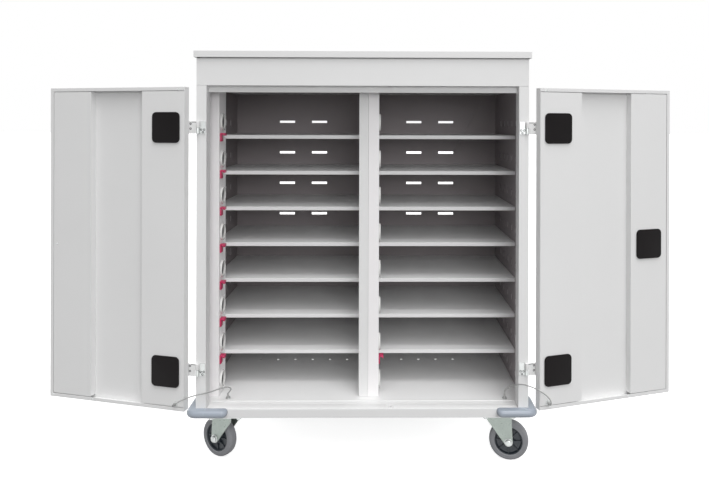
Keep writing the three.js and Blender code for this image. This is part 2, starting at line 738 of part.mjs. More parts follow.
// The pan is the outer sheet with its four edges folded in, and small lips turned over on three of them
function makeDoorPan(sign) {
  const span = (x0, x1) => [-sign * x0, -sign * x1];
  const pan = cut(
    block(span(DOOR_EDGE, DOOR_FREE_EDGE), [DOOR_OUTER, DOOR_INNER], [DOOR_BOTTOM, DOOR_TOP]),
    block(
      span(DOOR_EDGE + DOOR_SHEET, DOOR_FREE_EDGE - DOOR_SHEET),
      [DOOR_OUTER + DOOR_SHEET, DOOR_INNER - DOOR_SHEET],
      [DOOR_BOTTOM + DOOR_SHEET, DOOR_TOP - DOOR_SHEET],
    ),
    block(
      span(DOOR_EDGE + DOOR_SHEET, DOOR_FREE_EDGE - DOOR_LIP),
      [DOOR_INNER - 2 * DOOR_SHEET, DOOR_INNER + 1],
      [DOOR_BOTTOM + DOOR_LIP, DOOR_TOP - DOOR_LIP],
    ),
  );
  const armWindows = HINGE_RISES.map((z) =>
    block(
      span(DOOR_EDGE + DOOR_SHEET, DOOR_EDGE + ARM_ENTRY + ARM_CLEARANCE),
      [DOOR_OUTER - 1, DOOR_OUTER + 2 * DOOR_SHEET],
      [z - HINGE_HEIGHT / 2 - ARM_CLEARANCE / 2, z + HINGE_HEIGHT / 2 + ARM_CLEARANCE / 2],
    ),
  );
  if (sign < 0) return cut(pan, armWindows);
  const spindleHole = prism(
    ring([LOCK_RISE, -sign * LOCK_X], SPINDLE_RADIUS + 1.5 * SEAT, 16),
    'y',
    [DOOR_OUTER - 1, DOOR_OUTER + DOOR_SHEET + 1],
  );
  const rodHoles = lockHoles(sign, ROD_RADIUS + SEAT, [DOOR_BOTTOM - 1, DOOR_TOP + 1]);
  return cut(pan, armWindows, spindleHole, rodHoles);
}

// A stiffener is an upright channel with its face flush with the inside of the pan's edges
function makeStiffener(sign, from, width) {
  const low = DOOR_OUTER + DOOR_SHEET + SEAT;
  const path = [
    [from, low],
    [from, DOOR_INNER],
    [from + width, DOOR_INNER],
    [from + width, low],
  ];
  const outline = [...path, ...offsetPath(path, -DOOR_SHEET).reverse()];
  const end = DOOR_LIP + LIP_GAP;
  return prism(mirror(outline, -sign), 'z', [DOOR_BOTTOM + end, DOOR_TOP - end]);
}

// A hinge arm is cranked: from its knuckle across the front of the stile, in through the pan's window,
// and along the underside of the stiffener's face
function makeHingeArm(sign, rise) {
  const foot = DOOR_INNER - DOOR_SHEET - ARM_THICKNESS + 0.05;
  const bend = DOOR_EDGE + ARM_ENTRY;
  const path = [
    [0, ARM_OFFSET],
    [bend, ARM_OFFSET],
    [bend, foot],
    [bend + ARM_FOOT, foot],
  ];
  const half = HINGE_HEIGHT / 2;
  const arm = prism(mirror(foldedSheet(path, ARM_THICKNESS), -sign), 'z', [rise - half, rise + half]);
  const clear = KNUCKLE_RADIUS + ARM_CLEARANCE;
  const lowerKnuckleSpace = block([-clear, clear], [-clear, clear], [rise - half - 1, rise + SEAT / 2]);
  const knuckle = prism(ring([0, 0], KNUCKLE_RADIUS, 12), 'z', [rise + SEAT / 2, rise + half]);
  const bore = prism(ring([0, 0], PIN_RADIUS + RUNNING_GAP, 12), 'z', [rise - half, rise + half + 1]);
  return cut(join(cut(arm, lowerKnuckleSpace), knuckle), bore);
}

function makeHingeStiffener(sign) {
  const channel = makeStiffener(sign, DOOR_EDGE + DOOR_SHEET + SEAT, HINGE_STIFFENER_WIDTH);
  const stud = prism(
    ring([DOOR_STUD_RISE, -sign * (DOOR_EDGE + DOOR_STUD_SETBACK)], STUD_RADIUS, 8),
    'y',
    [DOOR_INNER - DOOR_SHEET / 2, DOOR_INNER + STUD_HEIGHT],
  );
  return join(channel, stud, HINGE_RISES.map((rise) => makeHingeArm(sign, rise)));
}

// The free-side stiffener; the right door's has a window under the lock cover
function makeFreeStiffener(sign) {
  const from = DOOR_FREE_EDGE - DOOR_LIP - LIP_GAP - FREE_STIFFENER_WIDTH;
  const channel = makeStiffener(sign, from, FREE_STIFFENER_WIDTH);
  if (sign < 0) return channel;
  const window = block(
    [-sign * (LOCK_X - LOCK_WINDOW / 2), -sign * (LOCK_X + LOCK_WINDOW / 2)],
    [DOOR_INNER - 2 * DOOR_SHEET, DOOR_INNER + 1],
    [LOCK_RISE - LOCK_WINDOW / 2, LOCK_RISE + LOCK_WINDOW / 2],
  );
  return cut(channel, window);
}

function makeCover(sign, setback, rise) {
  const centre = [rise, -sign * (DOOR_EDGE + setback)];
  const outline = roundedRectangle(centre, COVER_SIZE, COVER_SIZE, COVER_RADIUS, 3);
  const from = DOOR_INNER + SEAT;
  const cover = prism(outline, 'y', [from - COVER_BEVEL, from + COVER_THICKNESS], COVER_BEVEL);
  return cut(cover, block([centre[1] - COVER_SIZE, centre[1] + COVER_SIZE], [from - 5, from], [rise - COVER_SIZE, rise + COVER_SIZE]));
}

// A frame leaf is screwed to the front of the stile, with the lower knuckle and the pin that the
// door's upper knuckle drops over. It is drawn in place on the cabinet.
function makeFrameLeaf(sign, rise) {
  const half = HINGE_HEIGHT / 2;
  const leafY = [FRONT - SEAT - LEAF_THICKNESS, FRONT - SEAT];
  const inner = sign * (HALF - STILE_WIDTH + DOOR_SIDE_GAP);
  const clear = KNUCKLE_RADIUS + ARM_CLEARANCE;
  const axis = [sign * HINGE_X, HINGE_Y];
  const lower = block([inner, axis[0]], leafY, [rise - half, rise - SEAT / 2]);
  const upper = block([inner, sign * (HINGE_X - clear)], leafY, [rise - 1, rise + half]);
  const knuckle = prism(ring(axis, KNUCKLE_RADIUS, 12), 'z', [rise - half, rise - SEAT / 2]);
  const pin = prism(ring(axis, PIN_RADIUS, 12), 'z', [rise - half, rise + half - 1]);
  return join(lower, upper, knuckle, pin);
}

// Rod lock. The cam has two spiral slots, each a steady rise per degree, so the rods move in step with
// the handle: at rest the rods are drawn in, and a quarter turn pushes both out by the travel.
function makeLockHandle(sign) {
  const at = ([x, z]) => [LOCK_RISE + z, -sign * (LOCK_X + x)];
  const hubTop = DOOR_OUTER - SEAT;
  const centre = at([0, 0]);
  const hub = prism(ring(centre, HANDLE_HUB_RADIUS, 12), 'y', [hubTop - HANDLE_STANDOFF - HANDLE_THICKNESS, hubTop]);
  const lever = prism(
    obround([0, 0], HANDLE_LENGTH, HANDLE_WIDTH, 5)
      .map(([x, z]) => at([x - HANDLE_LENGTH / 2 + HANDLE_WIDTH / 2, z])),
    'y',
    [hubTop - HANDLE_STANDOFF - HANDLE_THICKNESS, hubTop - HANDLE_STANDOFF],
    COVER_BEVEL,
  );
  const spindle = prism(ring(centre, SPINDLE_RADIUS, 16), 'y', [hubTop - 1, CAM_Y + 1]);
  const cam = prism(ring(centre, CAM_RADIUS, 20), 'y', [CAM_Y, CAM_Y + CAM_THICKNESS]);
  const slots = [90, 270].map((start) => {
    const sweep = SLOT_LEAD_IN + LOCK_TURN + SLOT_LEAD_OUT;
    const path = Array.from({ length: SLOT_POINTS }, (_, i) => {
      const turned = (sweep * i) / (SLOT_POINTS - 1) - SLOT_LEAD_IN;
      const radius = CAM_START + (ROD_TRAVEL * turned) / LOCK_TURN;
      const angle = THREE.MathUtils.degToRad(start - turned);
      return [radius * Math.cos(angle), radius * Math.sin(angle)];
    });
    return prism(strip(path, 2 * (CAM_PIN_RADIUS + 2 * SEAT)).map(at), 'y', [CAM_Y - 1, CAM_Y + CAM_THICKNESS + 1]);
  });
  return join(cut(cam, slots), spindle, hub, lever);
}

// A lock rod with the pin that runs in the cam's slot; end is 1 for the upper rod and -1 for the lower
function makeLockRod(sign, end) {
  const tip = end > 0 ? DOOR_TOP - ROD_END_GAP : DOOR_BOTTOM + ROD_END_GAP;
  const root = LOCK_RISE + end * (CAM_START - CAM_PIN_RADIUS - 1);
  const span = [Math.min(tip, root), Math.max(tip, root)];
  const rod = prism(mirror(ring([LOCK_X, ROD_Y], ROD_RADIUS, 12), -sign), 'z', span);
  const pinCentre = [LOCK_RISE + end * CAM_START, -sign * LOCK_X];
  const pin = prism(ring(pinCentre, CAM_PIN_RADIUS, 12), 'y', [CAM_Y, ROD_Y]);
  return join(rod, pin);
}

function addDoor({ name, sign, openAngle }) {
  const door = new THREE.Group();
  door.position.set(sign * HINGE_X, HINGE_Y, 0);
  door.rotation.z = THREE.MathUtils.degToRad(openAngle);
  addMesh(door, `${name}_door_pan`, makeDoorPan(sign), POWDER_COAT);
  addMesh(door, `${name}_door_hinge_stiffener`, makeHingeStiffener(sign), POWDER_COAT);
  addMesh(door, `${name}_door_free_stiffener`, makeFreeStiffener(sign), POWDER_COAT);
  const hingeCover = HINGE_COVER_SETBACK + COVER_SIZE / 2;
  addMesh(door, `${name}_lower_hinge_cover`, makeCover(sign, hingeCover, HINGE_RISES[0]), BLACK_PLASTIC);
  addMesh(door, `${name}_upper_hinge_cover`, makeCover(sign, hingeCover, HINGE_RISES[1]), BLACK_PLASTIC);
  if (sign > 0) {
    addMesh(door, 'lock_cover', makeCover(sign, LOCK_X - DOOR_EDGE, LOCK_RISE), BLACK_PLASTIC);
    addMesh(door, 'lock_handle', makeLockHandle(sign), BLACK_PLASTIC);
    addMesh(door, 'upper_lock_rod', makeLockRod(sign, 1), ZINC);
    addMesh(door, 'lower_lock_rod', makeLockRod(sign, -1), ZINC);
  }
  cart.add(door);
}

// Earth leads, from the stud on each door to the stud on the floor. Points are [x, y, z] in place.
const LEAD_ROUTES = {
  left: [
    [-460.4, -272.2, 172],
    [-462, -278.4, 172],
    [-459, -285.5, 176],
    [-447, -285.5, 184],
    [-431, -277, 189],
    [-413, -268, 192],
    [-395, -259.5, 193],
    [-378, -246, 192.5],
    [-360, -222, 191],
    [-347, -204, 187],
    [-341, -192, 178],
    [-345, -185, 169],
    [-350, -184, 161.5],
    [-350, -184, 154.3],
  ],
  right: [
    [461, -270.4, 172],
    [462.9, -276.5, 172],
    [463.5, -284, 178],
    [459, -288, 189],
    [450, -286, 199],
    [437, -280, 206],
    [423, -272, 211],
    [409, -267, 214.5],
    [396, -259.5, 214.5],
    [383.5, -248.5, 209],
    [375.5, -231, 199],
    [370, -210, 186],
    [367, -196, 173],
    [367, -190, 162],
    [367, -190, 154.3],
  ],
};

function makeLead(route) {
  const curve = new THREE.CatmullRomCurve3(route.map((point) => new THREE.Vector3(...point)));
  const section = new THREE.Shape(ring([0, 0], LEAD_RADIUS, 8).map(([a, b]) => new THREE.Vector2(a, b)));
  const steps = Math.round(curve.getLength() / LEAD_STEP);
  return solidOf(new THREE.ExtrudeGeometry(section, { steps, extrudePath: curve, bevelEnabled: false }));
}

// Assembly

addMesh(cart, 'top_cap', makeCap(), POWDER_COAT);
addMesh(cart, 'lintel', makeLintel(), POWDER_COAT);
addMesh(cart, 'back_panel', makeBackPanel(), POWDER_COAT);
addMesh(cart, 'base_tray', makeBase(), POWDER_COAT);
addMesh(cart, 'ceiling_panel', makeCeiling(), POWDER_COAT);
addMesh(cart, 'partition', makePartition(), POWDER_COAT);
addMesh(cart, 'left_power_channel', makePowerChannel(-LINER_FACE + SEAT, LEFT_CHANNEL_WIDTH, SHELF_TOPS), POWDER_COAT);
addMesh(
  cart,
  'right_power_channel',
  makePowerChannel(HALF_PARTITION + SEAT, RIGHT_CHANNEL_WIDTH, SHELF_TOPS.slice(0, 1)),
  POWDER_COAT,
);

for (const side of SIDES) {
  const { name, sign } = side;
  addMesh(cart, `${name}_side_panel`, makeSidePanel(sign), POWDER_COAT);
  addMesh(cart, `${name}_liner`, makeLiner(sign), POWDER_COAT);
  addMesh(cart, `${name}_caster_rail`, makeCasterRail(sign), ZINC);
  SHELF_TOPS.forEach((top, i) => {
    addMesh(cart, `${name}_shelf_${SHELVES - i}`, makeShelf(sign, top), POWDER_COAT);
  });
  addMesh(cart, `${name}_lower_frame_hinge`, makeFrameLeaf(sign, HINGE_RISES[0]), ZINC);
  addMesh(cart, `${name}_upper_frame_hinge`, makeFrameLeaf(sign, HINGE_RISES[1]), ZINC);
  addMesh(cart, `front_${name}_bumper`, makeBumper(sign, -1), BUMPER_GREY);
  addMesh(cart, `rear_${name}_bumper`, makeBumper(sign, 1), BUMPER_GREY);
  addDoor(side);
  addMesh(cart, `${name}_earth_lead`, makeLead(LEAD_ROUTES[name]), LEAD_GREY);
}

addCaster('front_left', -swivelX, -swivelY, FRONT_LEFT_TRAIL_ANGLE);
addCaster('front_right', swivelX, -swivelY, FRONT_RIGHT_TRAIL_ANGLE);
addCaster('rear_left', -swivelX, swivelY, REAR_LEFT_TRAIL_ANGLE);
addCaster('rear_right', swivelX, swivelY, REAR_RIGHT_TRAIL_ANGLE);

export default cart;
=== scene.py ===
"""Laptop charging cart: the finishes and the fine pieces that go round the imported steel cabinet."""

import json
import math

import bpy
import numpy as np
from mathutils import Matrix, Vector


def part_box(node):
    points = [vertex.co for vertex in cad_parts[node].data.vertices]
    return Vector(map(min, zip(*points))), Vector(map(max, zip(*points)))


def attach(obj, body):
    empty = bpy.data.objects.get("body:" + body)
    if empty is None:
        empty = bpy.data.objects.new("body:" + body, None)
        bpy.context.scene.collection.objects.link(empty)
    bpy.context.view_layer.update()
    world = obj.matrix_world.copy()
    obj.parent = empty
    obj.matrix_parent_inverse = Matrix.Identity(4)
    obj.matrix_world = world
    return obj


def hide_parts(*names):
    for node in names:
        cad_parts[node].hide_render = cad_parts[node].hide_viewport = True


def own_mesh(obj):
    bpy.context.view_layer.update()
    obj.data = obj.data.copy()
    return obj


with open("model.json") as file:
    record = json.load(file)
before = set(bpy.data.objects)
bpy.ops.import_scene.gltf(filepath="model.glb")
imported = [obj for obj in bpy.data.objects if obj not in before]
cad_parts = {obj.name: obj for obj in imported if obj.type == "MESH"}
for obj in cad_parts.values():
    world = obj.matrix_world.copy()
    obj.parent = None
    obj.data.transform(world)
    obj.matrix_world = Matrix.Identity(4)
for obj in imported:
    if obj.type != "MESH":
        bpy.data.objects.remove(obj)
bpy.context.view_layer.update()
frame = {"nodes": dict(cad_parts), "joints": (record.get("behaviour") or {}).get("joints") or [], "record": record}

bl_info = {
    "name": "Laptop charging cart",
    "version": (1, 0, 0),
    "blender": (4, 5, 0),
    "location": "View3D > Sidebar > Cart",
    "description": "Dresses the charging cart's steel, sockets, clips, casters and leads, and lights it",
    "category": "Object",
}

SIDES = {"left": -1, "right": 1}
CORNERS = ("front_left", "front_right", "rear_left", "rear_right")
JOINTS = {joint["name"]: joint for joint in frame["joints"]}
NODE_SLOTS = {part["node"]: part["material_slot"] for part in frame["record"]["subparts"]}


def node_box(name):
    """A CAD node's lowest and highest corners in millimetres."""
    return np.array([list(corner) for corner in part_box(name)]) * 1000


SHELF_TOPS = [node_box(f"left_shelf_{i}")[1][2] for i in range(7, 0, -1)]
FLOOR_TOP = 150.0
LEVELS = [FLOOR_TOP] + SHELF_TOPS
CHANNEL_FACES = {"left": -376.5, "right": 40.0}
STRIKE = (68.5, -237.5)
BACK_MIDDLE = 204.75
HINGE_HEIGHTS = {
    level: float(np.mean(node_box(f"left_{level}_frame_hinge")[:, 2])) for level in ("lower", "upper")
}


def linear(*levels):
    """A colour given as screen levels from 0 to 255, in the linear scale that the shaders use."""
    share = np.array(levels, float) / 255
    return tuple(np.where(share <= 0.04045, share / 12.92, ((share + 0.055) / 1.055) ** 2.4))


def colour_property(name, description, levels):
    """A colour that the user may change."""
    return bpy.props.FloatVectorProperty(
        name=name, description=description, subtype="COLOR", size=3, min=0, max=1, default=linear(*levels)
    )


def length_property(name, description, millimetres):
    """A length that the user may change, in metres."""
    return bpy.props.FloatProperty(
        name=name, description=description, unit="LENGTH", precision=5, min=0, default=millimetres / 1000
    )


class CartFinishes(bpy.types.PropertyGroup):
    """Colours of the cart's finishes."""

    coat: colour_property("Powder coat", "Coated steel of the cabinet and doors", (231, 231, 231))
    # The channel colour is painted light: a coat lighter than the cabinet's, standing in for light on the shaded
    # channels.
    channel: colour_property("Channel coat", "Whiter coat of the power channels", (246, 244, 245))
    # The interior colour is painted shade: the pale coat as it looks in the shade inside the cabinet.
    interior_shade: colour_property("Lining", "Coated steel of the back panel and the liners", (155, 148, 150))
    # The black also serves as painted shade: discs in the socket pin holes and a slot in the lock's keyway.
    cover: colour_property("Covers", "Moulded covers on the door insides", (17, 14, 15))
    plating: colour_property("Zinc plate", "Rails, hinges, rods and nuts", (186, 189, 188))
    fork: colour_property("Fork plate", "Passivated plate of the caster forks", (146, 154, 149))
    # The screw colour also paints the shade strip along the top of each hinge arm.
    screw: colour_property("Hinge screws", "Dark screws of the hinges", (62, 63, 65))
    tyre: colour_property("Tyre", "Rubber of the caster tyres", (146, 147, 151))
    centre: colour_property("Wheel centre", "Plastic inside the tyres", (32, 39, 46))
    bumper: colour_property("Bumpers", "Soft plastic on the corners of the base", (158, 166, 177))
    clip: colour_property("Cable clips", "Clips at the shelf fronts", (190, 44, 92))
    socket: colour_property("Sockets", "Moulded sockets on the power channels", (222, 222, 220))
    # The cup colour is painted shade: the pale socket plastic darkened where the inside of a socket falls in shade.
    cup: colour_property("Socket cups", "Inside of the sockets", (92, 92, 96))
    contact: colour_property("Contacts", "Earth contacts in the sockets", (188, 178, 150))
    lead: colour_property("Earth leads", "Sheath of the earth leads", (158, 159, 158))


class CartSizes(bpy.types.PropertyGroup):
    """Fine sizes that the solids leave plain."""

    fold_radius: length_property("Fold radius", "Rounding on the edges of the folded steel", 0.5)
    plate_radius: length_property("Plate radius", "Rounding on the edges of the caster forks", 0.9)
    cover_edge: length_property("Cover edge", "Rounding on the edge of a black cover", 1.8)
    bumper_round: length_property("Bumper rounding", "Rounding on the edges of a corner bumper", 8.6)
    tyre_shoulder: length_property("Tyre shoulder", "Rounding where the tread meets the side of the tyre", 5.5)
    vent_lip: length_property("Vent lip", "Width of the pressed lip round a vent", 1.4)
    lead_diameter: length_property("Lead diameter", "Diameter of an earth lead", 3.0)


class CartStage(bpy.types.PropertyGroup):
    """Camera and lights."""

    camera_place: bpy.props.FloatVectorProperty(
        name="Camera", description="Where the camera stands", subtype="TRANSLATION", size=3,
        default=(0.0403, -1.8726, 0.8603),
    )
    turn: bpy.props.FloatVectorProperty(
        name="Turn", description="Turn of the camera to the right, downwards and about its view", subtype="EULER",
        size=3, default=tuple(math.radians(angle) for angle in (0.681, 0.042, -0.151)),
    )
    lens: bpy.props.FloatProperty(
        name="Lens", description="Focal length on a 36 mm sensor", unit="CAMERA", default=33.0
    )
    shift: bpy.props.FloatVectorProperty(
        name="Shift", description="Sideways and upward shift of the frame", size=2, default=(-0.04595, -0.17264)
    )
    key_from: bpy.props.FloatVectorProperty(
        name="Overhead light from", description="Direction that the overhead light comes from", subtype="DIRECTION",
        size=3, default=(0.30, -0.65, 0.72),
    )
    key: bpy.props.FloatProperty(
        name="Overhead light", description="Strength of the soft light above the front", default=0.8, min=0
    )
    above: bpy.props.FloatProperty(
        name="Light above", description="Strength of the soft light straight above", default=1.35, min=0
    )
    front: bpy.props.FloatProperty(
        name="Light in front", description="Watts of the broad lamp over the camera", default=25.5, min=0
    )
    back: bpy.props.FloatProperty(
        name="Light behind", description="Strength of each soft light behind the cart", default=0.9, min=0
    )
    ambient: bpy.props.FloatProperty(
        name="Ambient", description="Strength of the light from all round", default=0.43, min=0
    )


# Surfaces. A shape is a pair: an array of points in millimetres, and a list of index arrays, one per kind of face.


def grid_faces(rows, columns, loop=True):
    """Quads over a grid of points kept row by row; with loop the last column meets the first."""
    row = np.arange(rows - 1)[:, None] * columns
    column = np.arange(columns if loop else columns - 1)[None, :]
    onward = (column + 1) % columns
    corners = [row + column, row + onward, row + columns + onward, row + columns + column]
    return np.stack(corners, -1).reshape(-1, 4)


def join(*shapes):
    """Several shapes as one: their points in a row, and each one's faces counted on from the points before it."""
    starts = np.cumsum([0] + [len(points) for points, _ in shapes[:-1]])
    points = np.concatenate([points for points, _ in shapes])
    return points, [faces + start for (_, blocks), start in zip(shapes, starts) for faces in blocks]


def axes(origin, a, b, c):
    """A placing matrix whose columns are the directions of a shape's own three axes, and its origin."""
    matrix = np.eye(4)
    matrix[:3] = np.array([a, b, c, origin], float).T
    return matrix


def place(shape, *matrices):
    """A shape set down once for each matrix: point times matrix. A mirrored copy has its faces turned round."""
    points, blocks = shape
    placed = []
    for matrix in matrices:
        moved = points @ matrix[:3, :3].T + matrix[:3, 3]
        turned = np.linalg.det(matrix[:3, :3]) < 0
        placed.append((moved, [faces[:, ::-1] if turned else faces for faces in blocks]))
    return join(*placed)


def loft(rings, caps=True):
    """A skin over closed rings of points, stacked in order, with a flat face on the first and the last."""
    rows, columns, _ = rings.shape
    blocks = [grid_faces(rows, columns)]
    if caps:
        ring = np.arange(columns)[None, :]
        blocks += [ring[:, ::-1], ring + (rows - 1) * columns]
    return rings.reshape(-1, 3), blocks


def revolve(profile, sides):
    """A profile of radius r and height h turned about Z: (r cos t, r sin t, h) for t round the circle.
    The profile runs from the axis at the bottom, outwards and up, back to the axis, where each end is one point."""
    radius, height = np.array(profile, float).T
    t = np.linspace(0, 2 * np.pi, sides, endpoint=False)
    r, h = radius[1:-1, None], height[1:-1, None]
    rings = np.stack([r * np.cos(t), r * np.sin(t), h + 0 * t], -1)
    points, blocks = loft(rings, caps=False)
    poles = np.array([[0, 0, height[0]], [0, 0, height[-1]]])
    here = np.arange(sides)
    onward = (here + 1) % sides
    first, last = len(points), len(points) + 1
    top = len(points) - sides
    fans = [np.c_[onward, here, np.full(sides, first)], np.c_[top + here, top + onward, np.full(sides, last)]]
    return np.concatenate([points, poles]), blocks + fans


def revolve_ring(profile, sides):
    """A closed profile of radius and height turned about Z, as a tyre is: (r cos t, r sin t, h)."""
    radius, height = np.array(profile, float).T
    t = np.linspace(0, 2 * np.pi, sides, endpoint=False)[:, None]
    points = np.stack([radius * np.cos(t), radius * np.sin(t), height + 0 * t], -1)
    rows = np.concatenate([points, points[:1]])
    faces = grid_faces(sides + 1, len(radius)) % (sides * len(radius))
    return rows[:-1].reshape(-1, 3), [faces[:, ::-1]]


def drawn_in(outline, inset):
    """A closed outline, run counter-clockwise, moved inwards by the inset along its mitred corner normals."""
    before = outline - np.roll(outline, 1, 0)
    after = np.roll(outline, -1, 0) - outline
    normal_a = np.c_[-before[:, 1], before[:, 0]] / np.linalg.norm(before, axis=1, keepdims=True)
    normal_b = np.c_[-after[:, 1], after[:, 0]] / np.linalg.norm(after, axis=1, keepdims=True)
    mitre = (normal_a + normal_b) / (1 + np.sum(normal_a * normal_b, 1, keepdims=True))
    return outline + inset * mitre


def slab(outline, low, high, edge, steps=3):
    """A flat piece with rounded edges: the outline is drawn in by e (1 - sin a) as the height climbs by
    e (1 - cos a), for a over a quarter turn at the bottom and again, the other way, at the top."""
    a = np.linspace(0, np.pi / 2, steps + 1)
    inset = np.r_[edge * (1 - np.sin(a)), edge * (1 - np.sin(a[::-1]))]
    height = np.r_[low + edge * (1 - np.cos(a)), high - edge * (1 - np.cos(a[::-1]))]
    rings = [np.c_[drawn_in(outline, i), np.full(len(outline), h)] for i, h in zip(inset, height)]
    return loft(np.array(rings))


def arc(centre, radius, start, stop, steps):
    """Points on an arc, from start to stop in degrees."""
    t = np.radians(np.linspace(start, stop, steps + 1))
    return np.array(centre) + radius * np.c_[np.cos(t), np.sin(t)]


def rounded_rectangle(width, height, radius, steps=6):
    """A rectangle about the origin with an arc at each corner."""
    x, y = width / 2 - radius, height / 2 - radius
    corners = [((x, y), 0), ((-x, y), 90), ((-x, -y), 180), ((x, -y), 270)]
    return np.concatenate([arc(c, radius, start, start + 90, steps) for c, start in corners])


def polygon(radius, sides, turn=0):
    """A regular polygon about the origin."""
    return arc((0, 0), radius, turn, turn + 360 * (sides - 1) / sides, sides - 1)


def rounded_profile(points, radius, steps=4):
    """An open profile with each inner corner replaced by a quadratic curve between the points at the given
    distance before and after it: (1-s)^2 p + 2 s (1-s) c + s^2 q."""
    points = np.array(points, float)
    corner = points[1:-1]
    before, after = points[:-2] - corner, points[2:] - corner
    long_a = np.linalg.norm(before, axis=1, keepdims=True)
    long_b = np.linalg.norm(after, axis=1, keepdims=True)
    p = corner + before / long_a * np.minimum(radius, 0.45 * long_a)
    q = corner + after / long_b * np.minimum(radius, 0.45 * long_b)
    s = np.linspace(0, 1, steps + 1)[:, None, None]
    curve = (1 - s) ** 2 * p + 2 * s * (1 - s) * corner + s**2 * q
    return np.concatenate([points[:1], curve.transpose(1, 0, 2).reshape(-1, 2), points[-1:]])


def route_curve(points, step):
    """A smooth line through the points: on each span, with knots spaced by the square root of the distance,
    a cubic whose slopes come from the neighbouring points. It is then evened out to the given step."""
    p = np.array(points, float)
    p = np.concatenate([[2 * p[0] - p[1]], p, [2 * p[-1] - p[-2]]])
    knot = np.linalg.norm(np.diff(p, axis=0), axis=1) ** 0.5
    d0, d1, d2 = knot[:-2, None], knot[1:-1, None], knot[2:, None]
    x0, x1, x2, x3 = p[:-3], p[1:-2], p[2:-1], p[3:]
    slope_a = ((x1 - x0) / d0 - (x2 - x0) / (d0 + d1) + (x2 - x1) / d1) * d1
    slope_b = ((x2 - x1) / d1 - (x3 - x1) / (d1 + d2) + (x3 - x2) / d2) * d1
    s = np.linspace(0, 1, 24, endpoint=False)[None, :, None]
    x1, x2, slope_a, slope_b = (v[:, None, :] for v in (x1, x2, slope_a, slope_b))
    cubic = 2 * x1 - 2 * x2 + slope_a + slope_b
    square = -3 * x1 + 3 * x2 - 2 * slope_a - slope_b
    fine = (x1 + slope_a * s + square * s**2 + cubic * s**3).reshape(-1, 3)
    fine = np.concatenate([fine, p[-2:-1]])
    along = np.r_[0, np.cumsum(np.linalg.norm(np.diff(fine, axis=0), axis=1))]
    even = np.linspace(0, along[-1], int(round(along[-1] / step)) + 1)
    return np.stack([np.interp(even, along, fine[:, i]) for i in range(3)], -1)


def tube(path, radius, sides):
    """A round section carried along a path: point + radius (cos t n + sin t b), where n and b stand square to the
    path's direction and to a fixed slanting line that the path never follows. Both ends are closed."""
    ahead = np.gradient(path, axis=0)
    ahead /= np.linalg.norm(ahead, axis=1, keepdims=True)
    n = np.cross(ahead, np.array([0.62, -0.58, 0.53]))
    n /= np.linalg.norm(n, axis=1, keepdims=True)
    b = np.cross(ahead, n)
    t = np.linspace(0, 2 * np.pi, sides, endpoint=False)[None, :, None]
    return loft(path[:, None, :] + radius * (np.cos(t) * n[:, None, :] + np.sin(t) * b[:, None, :]))


def lip_round(path, section):
    """A closed section, given as outward and upward distances, carried round a closed flat path."""
    before = path - np.roll(path, 1, 0)
    after = np.roll(path, -1, 0) - path
    along = before / np.linalg.norm(before, axis=1, keepdims=True)
    along = along + after / np.linalg.norm(after, axis=1, keepdims=True)
    along /= np.linalg.norm(along, axis=1, keepdims=True)
    out = np.c_[along[:, 1], -along[:, 0]]
    flat = path[:, None, :] + section[None, :, :1] * out[:, None, :]
    height = np.broadcast_to(section[None, :, 1:], flat.shape[:2] + (1,))
    rings = np.concatenate([flat, height], -1)
    count = len(path) * len(section)
    faces = grid_faces(len(path) + 1, len(section)) % count
    return rings.reshape(-1, 3), [faces[:, ::-1]]


# Where things stand


def door_axes(side):
    """A door's own axes at rest: across from the hinge pin, out of its inner face, and up."""
    joint = JOINTS[f"{side}_door_hinge"]
    low, high = joint["range_deg"]
    turn = math.radians(-high if side == "left" else -low)
    across = -SIDES[side] * np.array([math.cos(turn), math.sin(turn), 0])
    inward = np.array([-math.sin(turn), math.cos(turn), 0])
    x, y, _ = np.array(joint["pos_m"]) * 1000
    return axes((x, y, 0), across, inward, (0, 0, 1))


def on_door(side, across, depth, height):
    """A placing matrix on a door: X across it, Y up it, and Z out of its inner face."""
    return door_axes(side) @ axes((across, depth, height), (1, 0, 0), (0, 0, 1), (0, 1, 0))


def caster_axes(corner):
    """A caster's own axes at rest: the way its wheel trails, square to that, and up, from the floor."""
    pivot = np.array(JOINTS[f"{corner}_swivel"]["pos_m"]) * 1000
    axle = np.array(JOINTS[f"{corner}_roll"]["pos_m"]) * 1000
    ahead = (axle - pivot) * (1, 1, 0)
    ahead /= np.linalg.norm(ahead)
    return axes((pivot[0], pivot[1], 0), ahead, np.cross((0, 0, 1), ahead), (0, 0, 1))


def along_axle(corner, offset=0.0, side=1):
    """A placing matrix whose Z runs along a caster's axle, outwards on the given side."""
    return caster_axes(corner) @ axes((32, offset, 50), (side, 0, 0), (0, 0, -1), (0, side, 0))


def socket_face(column, level):
    """A placing matrix on a power channel's face, centred on the socket of a level, with Z out of the face."""
    return axes((CHANNEL_FACES[column], -140.0, LEVELS[level] + 35), (0, 1, 0), (0, 0, 1), (1, 0, 0))


def piece(name, shape, body, finish, stands_for=(), sharp=38):
    """Puts a shape into a mesh at the origin, in metres, with its finish, and lets it ride on its body."""
    points, blocks = shape
    mesh = bpy.data.meshes.new(name)
    mesh.from_pydata((points / 1000).tolist(), [], [face for block in blocks for face in block.tolist()])
    mesh.shade_smooth()
    mesh.set_sharp_from_angle(angle=math.radians(sharp))
    mesh.materials.append(finish)
    made = bpy.data.objects.new(name, mesh)
    bpy.context.scene.collection.objects.link(made)
    if body:
        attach(made, body)
    if stands_for:
        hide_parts(*stands_for)
    return made


# Finishes


def node(tree, kind, inputs=None, **settings):
    """Adds a node, gives it its settings, and sets or links its inputs."""
    made = tree.nodes.new(kind)
    for key, value in settings.items():
        setattr(made, key, value)
    for key, value in (inputs or {}).items():
        if isinstance(value, bpy.types.NodeSocket):
            tree.links.new(value, made.inputs[key])
        else:
            made.inputs[key].default_value = value
    return made


